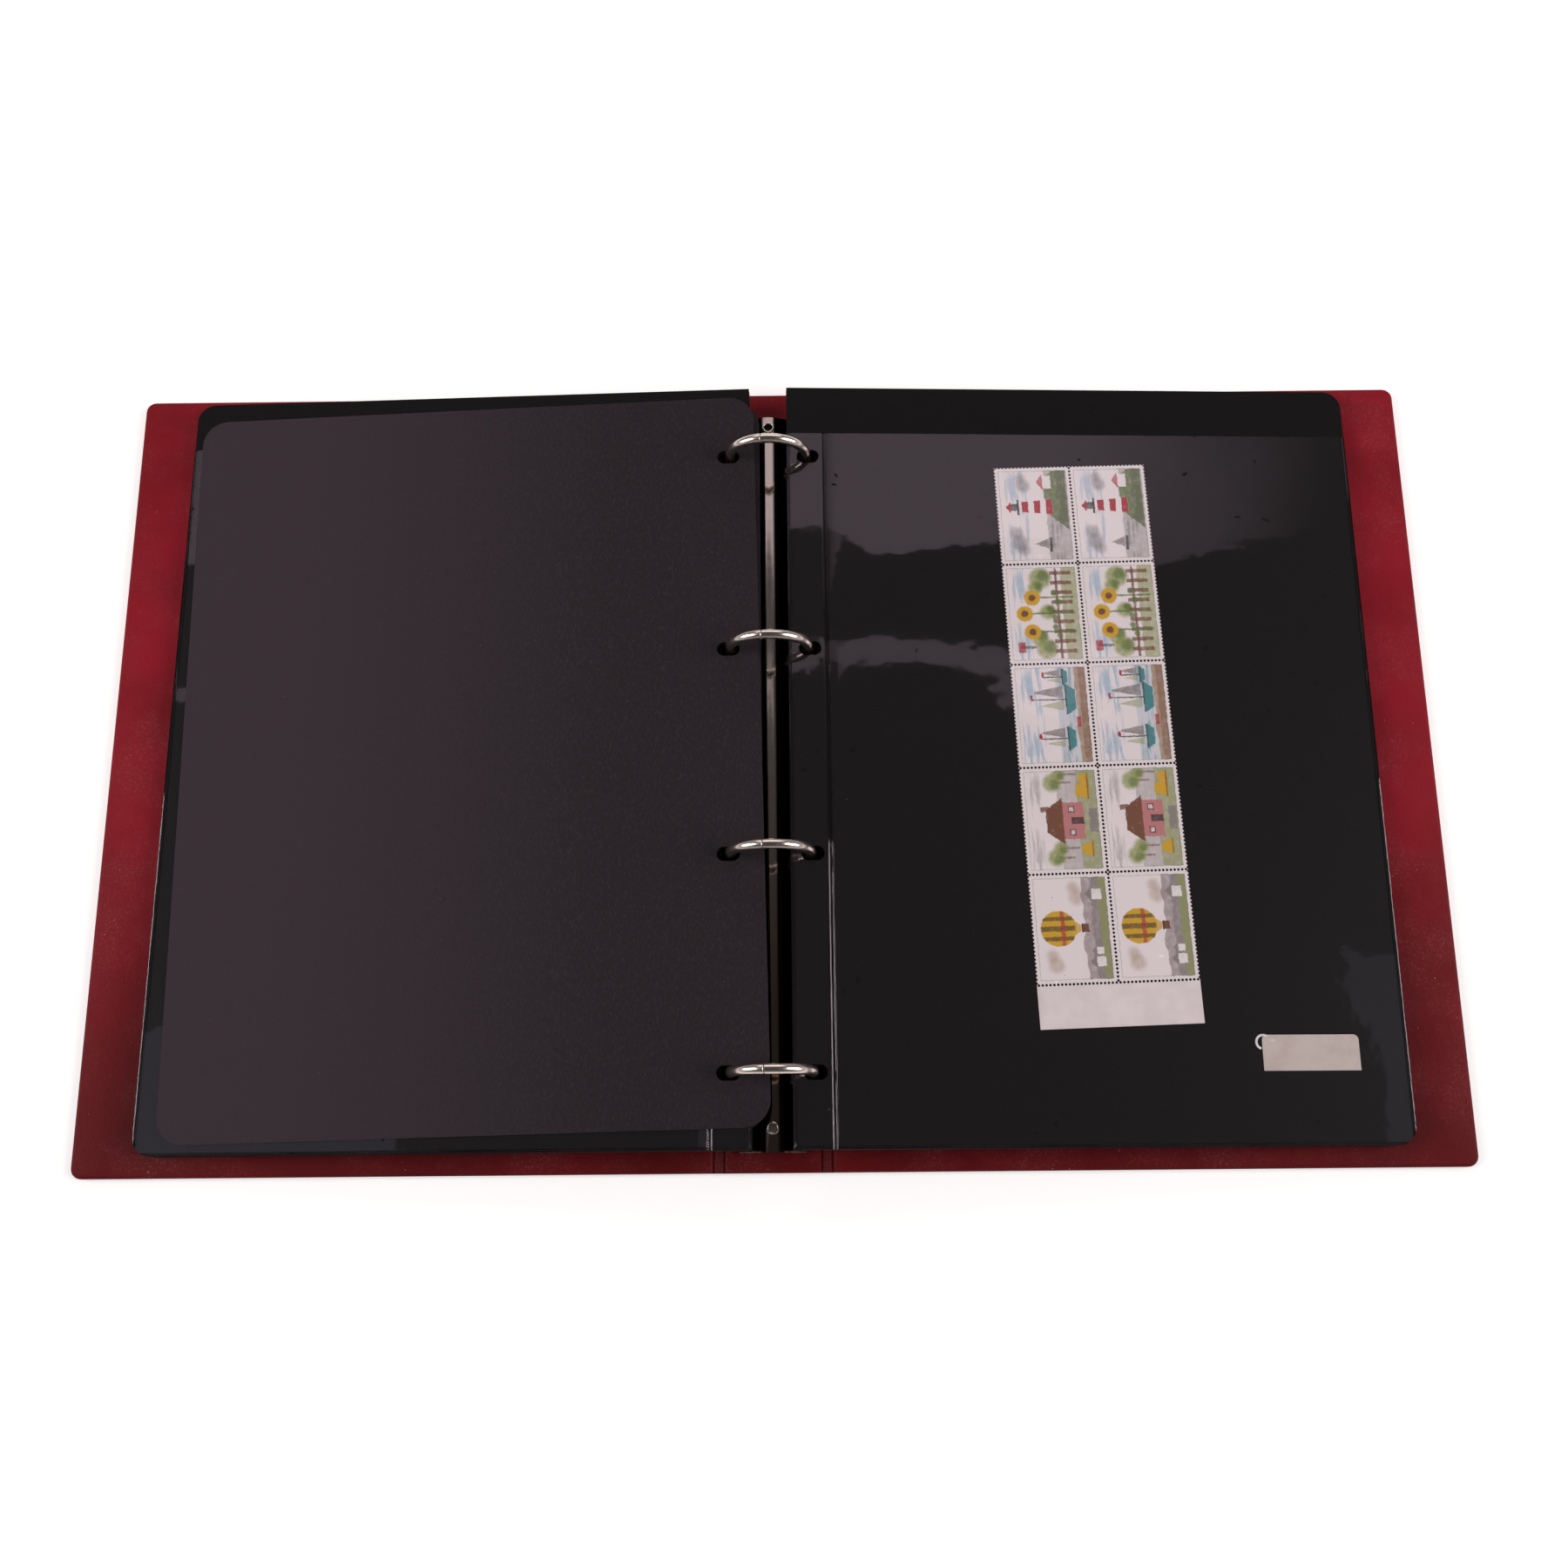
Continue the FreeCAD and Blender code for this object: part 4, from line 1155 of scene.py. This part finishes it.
@dataclass
class StampBlock:
    """A block of ten stamps, still joined along their perforations, with a blank strip at its foot."""

    ring_height: float
    centre: tuple[float, float] = (123.0, 6.1)
    skew: float = 2.06
    columns: int = 2
    stamp: tuple[float, float] = (30.0, 41.0)
    strip: float = 16.0
    thickness: float = 0.12
    bites: tuple[int, int] = (21, 28)
    bite: float = 0.5
    bite_steps: int = 6

    def build(self, palette: Palette) -> None:
        """Build the perforated block."""
        bm = bmesh.new()
        prints = bm.loops.layers.uv.new("print")
        width = self.columns * self.stamp[0]
        head = (len(Motif) * self.stamp[1] + self.strip) / 2
        for motif in Motif:
            for column in range(self.columns):
                left = column * self.stamp[0] - width / 2
                low = head - (motif.value + 1) * self.stamp[1]
                self.one_stamp(bm, prints, left, low, motif.value)
        self.foot_strip(bm, width, -head)
        ops.remove_doubles(bm, verts=bm.verts, dist=1e-6)
        made = ops.extrude_face_region(bm, geom=bm.faces[:], use_keep_orig=True)["geom"]
        lifted = [item for item in made if isinstance(item, bmesh.types.BMVert)]
        upper = {item for item in made if isinstance(item, bmesh.types.BMFace)}
        ops.translate(bm, verts=lifted, vec=UP * self.thickness * MM)
        for face in bm.faces:
            if face not in upper:
                face.material_index = len(Motif)
        self.settle(bm)
        piece = Piece("stamp_block_perforated", "stamp_block", "stamp_paper", ("stamp_block",))
        piece.make(bm, palette.prints + [palette.stamp_paper], 40.0)

    def settle(self, bm: BMesh) -> None:
        """Lay the block on its page, where its solid lies."""
        leaf = LeafFrame(Side.RIGHT, self.ring_height)
        lowest = min(point.z for point in leaf.points("stamp_block"))
        middle = Matrix.Translation((self.centre[0] * MM, self.centre[1] * MM, lowest))
        turn = Matrix.Rotation(math.radians(self.skew), 4, "Z")
        ops.transform(bm, matrix=leaf.matrix @ middle @ turn, verts=bm.verts)

    def bitten(self, start: Vector, end: Vector, bites: int) -> list[Vector]:
        """Points from the start of an edge almost to its end, with half-round bites on its left."""
        pitch = (end - start) / bites
        along = pitch.normalized()
        inward = Vector((-along.y, along.x))
        points = [start]
        for number in range(bites):
            middle = start + pitch * (number + 0.5)
            for step in range(self.bite_steps + 1):
                turn = math.pi * step / self.bite_steps
                points.append(middle + self.bite * (inward * math.sin(turn) - along * math.cos(turn)))
        return points

    def sheet(self, bm: BMesh, outline: list[Vector], row: int) -> bmesh.types.BMFace:
        """A flat face with that outline, in the material of a row."""
        face = bm.faces.new([bm.verts.new((p.x * MM, p.y * MM, 0.0)) for p in outline])
        face.material_index = row
        return face

    def one_stamp(
        self, bm: BMesh, prints: bmesh.types.BMLayerItem, left: float, low: float, row: int
    ) -> None:
        """One stamp with bites along its four edges, and the map of its picture."""
        width, height = self.stamp
        corners = [Vector((left, low)), Vector((left + width, low))]
        corners += [Vector((left + width, low + height)), Vector((left, low + height))]
        outline: list[Vector] = []
        for number, corner in enumerate(corners):
            outline += self.bitten(corner, corners[(number + 1) % 4], self.bites[number % 2])
        for loop, point in zip(self.sheet(bm, outline, row).loops, outline):
            loop[prints].uv = ((point.y - low) / height, (left + width - point.x) / width)

    def foot_strip(self, bm: BMesh, width: float, low: float) -> None:
        """The blank strip under the last row."""
        top = low + self.strip
        outline = [Vector((-width / 2, low)), Vector((width / 2, low))]
        for column in range(self.columns):
            start = width / 2 - column * self.stamp[0]
            end = start - self.stamp[0]
            outline += self.bitten(Vector((start, top)), Vector((end, top)), self.bites[0])
        outline.append(Vector((-width / 2, top)))
        self.sheet(bm, outline, len(Motif))


@dataclass
class MountScrap:
    """A curled scrap of clear mount at the label's corner, drawn in pale paper as a painted highlight."""

    ring_height: float
    radius: float = 2.5
    inset: tuple[float, float] = (0.4, -2.6)
    width: float = 0.9
    height: float = 0.08
    first_turn: float = 55.0
    last_turn: float = 250.0
    facets: int = 10
    steps: int = 22

    def build(self, palette: Palette) -> None:
        """Build the scrap as a flat, open curl that lies on the label's head corner."""
        leaf = LeafFrame(Side.RIGHT, self.ring_height)
        points = leaf.points("paper_label")
        low = min(point.x for point in points)
        head = max(point.y for point in points)
        top = max(point.z for point in points)
        centre = Vector((low + self.inset[0] * MM, head + self.inset[1] * MM, top))
        bm = bmesh.new()
        ops.create_circle(bm, segments=self.facets, radius=0.5)
        flat = Matrix.Diagonal((self.width * MM, self.height * MM, 1.0, 1.0))
        upright = Matrix.Rotation(math.radians(90), 4, "X")
        start = Matrix.Rotation(math.radians(self.first_turn), 4, "Z")
        out = Matrix.Translation((self.radius * MM, 0.0, 0.0))
        place = Matrix.Translation(centre) @ start @ out @ upright @ flat
        ops.transform(bm, matrix=place, verts=bm.verts)
        for loop in sweep(bm, centre, UP, math.radians(self.last_turn - self.first_turn), self.steps):
            ops.edgeloop_fill(bm, edges=loop)
        ops.transform(bm, matrix=leaf.matrix, verts=bm.verts)
        Piece("label_mount_scrap", "label", "label_paper").make(bm, [palette.mount], 60.0)


class CarriedNodes:
    """The solids that keep their own shape and get a finish."""

    def dress(self, palette: Palette) -> None:
        """Give each of them its material."""
        finishes: dict[str, Material] = {
            "front_board": palette.board, "back_board": palette.board, "spine_board": palette.board,
            "spine_outer_vinyl": palette.vinyl, "spine_lining": palette.crease,
            "left_blade": palette.plate, "right_blade": palette.plate, "paper_label": palette.label_paper,
        }
        finishes |= {name: palette.sheet for name in frame["nodes"] if name.endswith("_sheet")}
        for name, material in finishes.items():
            mesh = frame["nodes"][name].data
            mesh.materials.clear()
            mesh.materials.append(material)
            LOG.info("%s: dressed", name)


@dataclass(frozen=True)
class SoftBox:
    """A square lamp that faces the album, and that may fade toward the ends of its width."""

    name: str
    toward: Triple
    distance: float
    width: float
    height: float
    level: float
    tint: Colour = (1.0, 1.0, 1.0)
    aside: float = 0.0
    fade: float = 0.0

    def hang(self) -> None:
        """Aim the lamp, then move it aside; its level is how bright its face looks, where 1 is white."""
        lamp = bpy.data.lights.new(self.name, "AREA")
        lamp.shape = "RECTANGLE"
        lamp.size = self.width
        lamp.size_y = self.height
        lamp.energy = self.level * math.pi * self.width * self.height
        lamp.color = self.tint
        if self.fade:
            graph = Graph(lamp)
            across = graph.along(graph.node("NewGeometry").outputs["Parametric"], 0)
            away = graph.math("ABSOLUTE", graph.math("SUBTRACT", across, 0.5))
            strength = graph.tree.nodes["Emission"].inputs["Strength"]
            graph.feed(strength, graph.rise(away, 0.5, 0.5 - self.fade))
        made = put(self.name, lamp)
        way = Vector(self.toward).normalized()
        made.location = way * self.distance + Vector((self.aside, 0.0, 0.0))
        made.rotation_euler = way.to_track_quat("Z", "Y").to_euler()


@dataclass
class Studio:
    """The floor, the lamps, the sky and the camera."""

    lens_pixels: float = 1891.4
    image_pixels: float = 1800.0
    sensor: float = 36.0
    eye: Triple = (7.865, -172.277, 611.96)
    tilt: float = 14.96
    yaw: float = 0.976
    roll: float = -1.524
    sky: float = 0.06
    floor_reach: float = 3.0
    floor_bend: float = 1.2
    bend_steps: int = 8
    floor_facets: int = 64
    backdrop: float = 2.6

    def build(self) -> None:
        """Set the whole stage."""
        self.floor()
        self.lamps()
        self.world()
        self.camera()
        bpy.context.scene.view_settings.view_transform = "Standard"

    def floor(self) -> None:
        """A pale floor that keeps the album's shadow and curves up into a low, white backdrop."""
        profile = [Vector(), Vector((self.floor_reach, 0.0, 0.0))]
        for step in range(1, self.bend_steps + 1):
            turn = math.pi / 2 * step / self.bend_steps
            out, up = math.sin(turn), 1.0 - math.cos(turn)
            profile.append(Vector((self.floor_reach + self.floor_bend * out, 0.0, self.floor_bend * up)))
        profile.append(Vector((self.floor_reach + self.floor_bend, 0.0, self.backdrop)))
        bm = bmesh.new()
        lathe(bm, profile, Vector(), self.floor_facets)
        ops.recalc_face_normals(bm, faces=bm.faces)
        mesh = bpy.data.meshes.new("floor")
        bm.to_mesh(mesh)
        bm.free()
        mesh.shade_smooth()
        mesh.materials.append(FloorFinish(self.sky).build())
        made = put("floor", mesh)

    def lamps(self) -> None:
        """Soft lamps at both sides and behind, and dimmer ones that only the films show."""
        warm = (1.0, 0.95, 0.93)
        cool = (0.74, 0.79, 1.0)
        mauve = (1.0, 0.86, 0.96)
        SoftBox("left_lamp", (-0.82, -0.08, 0.56), 1.7, 1.0, 1.0, 5.2, warm).hang()
        SoftBox("right_lamp", (0.82, -0.08, 0.56), 1.7, 1.0, 1.0, 5.5, warm).hang()
        SoftBox("back_lamp", (0.0, 0.80, 0.60), 1.8, 1.8, 0.5, 2.4, warm).hang()
        SoftBox("haze_lamp", (0.0, 0.56, 0.83), 1.9, 2.64, 0.55, 0.48, mauve, -0.29, 0.2).hang()
        SoftBox("strip_lamp", (0.0, 0.33, 0.94), 1.9, 1.9, 0.04, 0.4, mauve, -0.3).hang()
        SoftBox("left_sheen", (-0.50, -0.02, 0.86), 1.9, 0.25, 0.6, 0.2, cool).hang()
        SoftBox("right_sheen", (0.62, 0.02, 0.78), 1.9, 0.3, 0.6, 0.14, cool).hang()

    def world(self) -> None:
        """An even, dim sky."""
        world = bpy.data.worlds.new("studio")
        world.use_nodes = True
        background = world.node_tree.nodes["Background"]
        background.inputs["Color"].default_value = (1.0, 0.97, 0.97, 1.0)
        background.inputs["Strength"].default_value = self.sky
        bpy.context.scene.world = world

    def camera(self) -> None:
        """The camera, looking down from the reader's side."""
        camera = bpy.data.cameras.new("camera")
        camera.sensor_width = self.sensor
        camera.lens = self.lens_pixels / self.image_pixels * self.sensor
        tilt, yaw, roll = (math.radians(angle) for angle in (self.tilt, self.yaw, self.roll))
        turn = Matrix.Rotation(yaw, 4, "Z") @ Matrix.Rotation(tilt, 4, "X") @ Matrix.Rotation(roll, 4, "Z")
        made = put("camera", camera)
        made.matrix_world = Matrix.Translation(Vector(self.eye) * MM) @ turn
        bpy.context.scene.camera = made


def main() -> None:
    """Build the album piece by piece and light it."""
    logging.basicConfig(level=logging.INFO, format="%(message)s")
    palette = Palette()
    rings = RingMechanism()
    axis = rings.ring_height()
    Cover("front", Side.LEFT).build(palette)
    Cover("back", Side.RIGHT).build(palette)
    rings.build(palette)
    PocketFilms(axis).build(palette)
    CardLeaves(axis).build(palette)
    StampBlock(axis).build(palette)
    MountScrap(axis).build(palette)
    CarriedNodes().dress(palette)
    Studio().build()


if __name__ == "__main__":
    main()
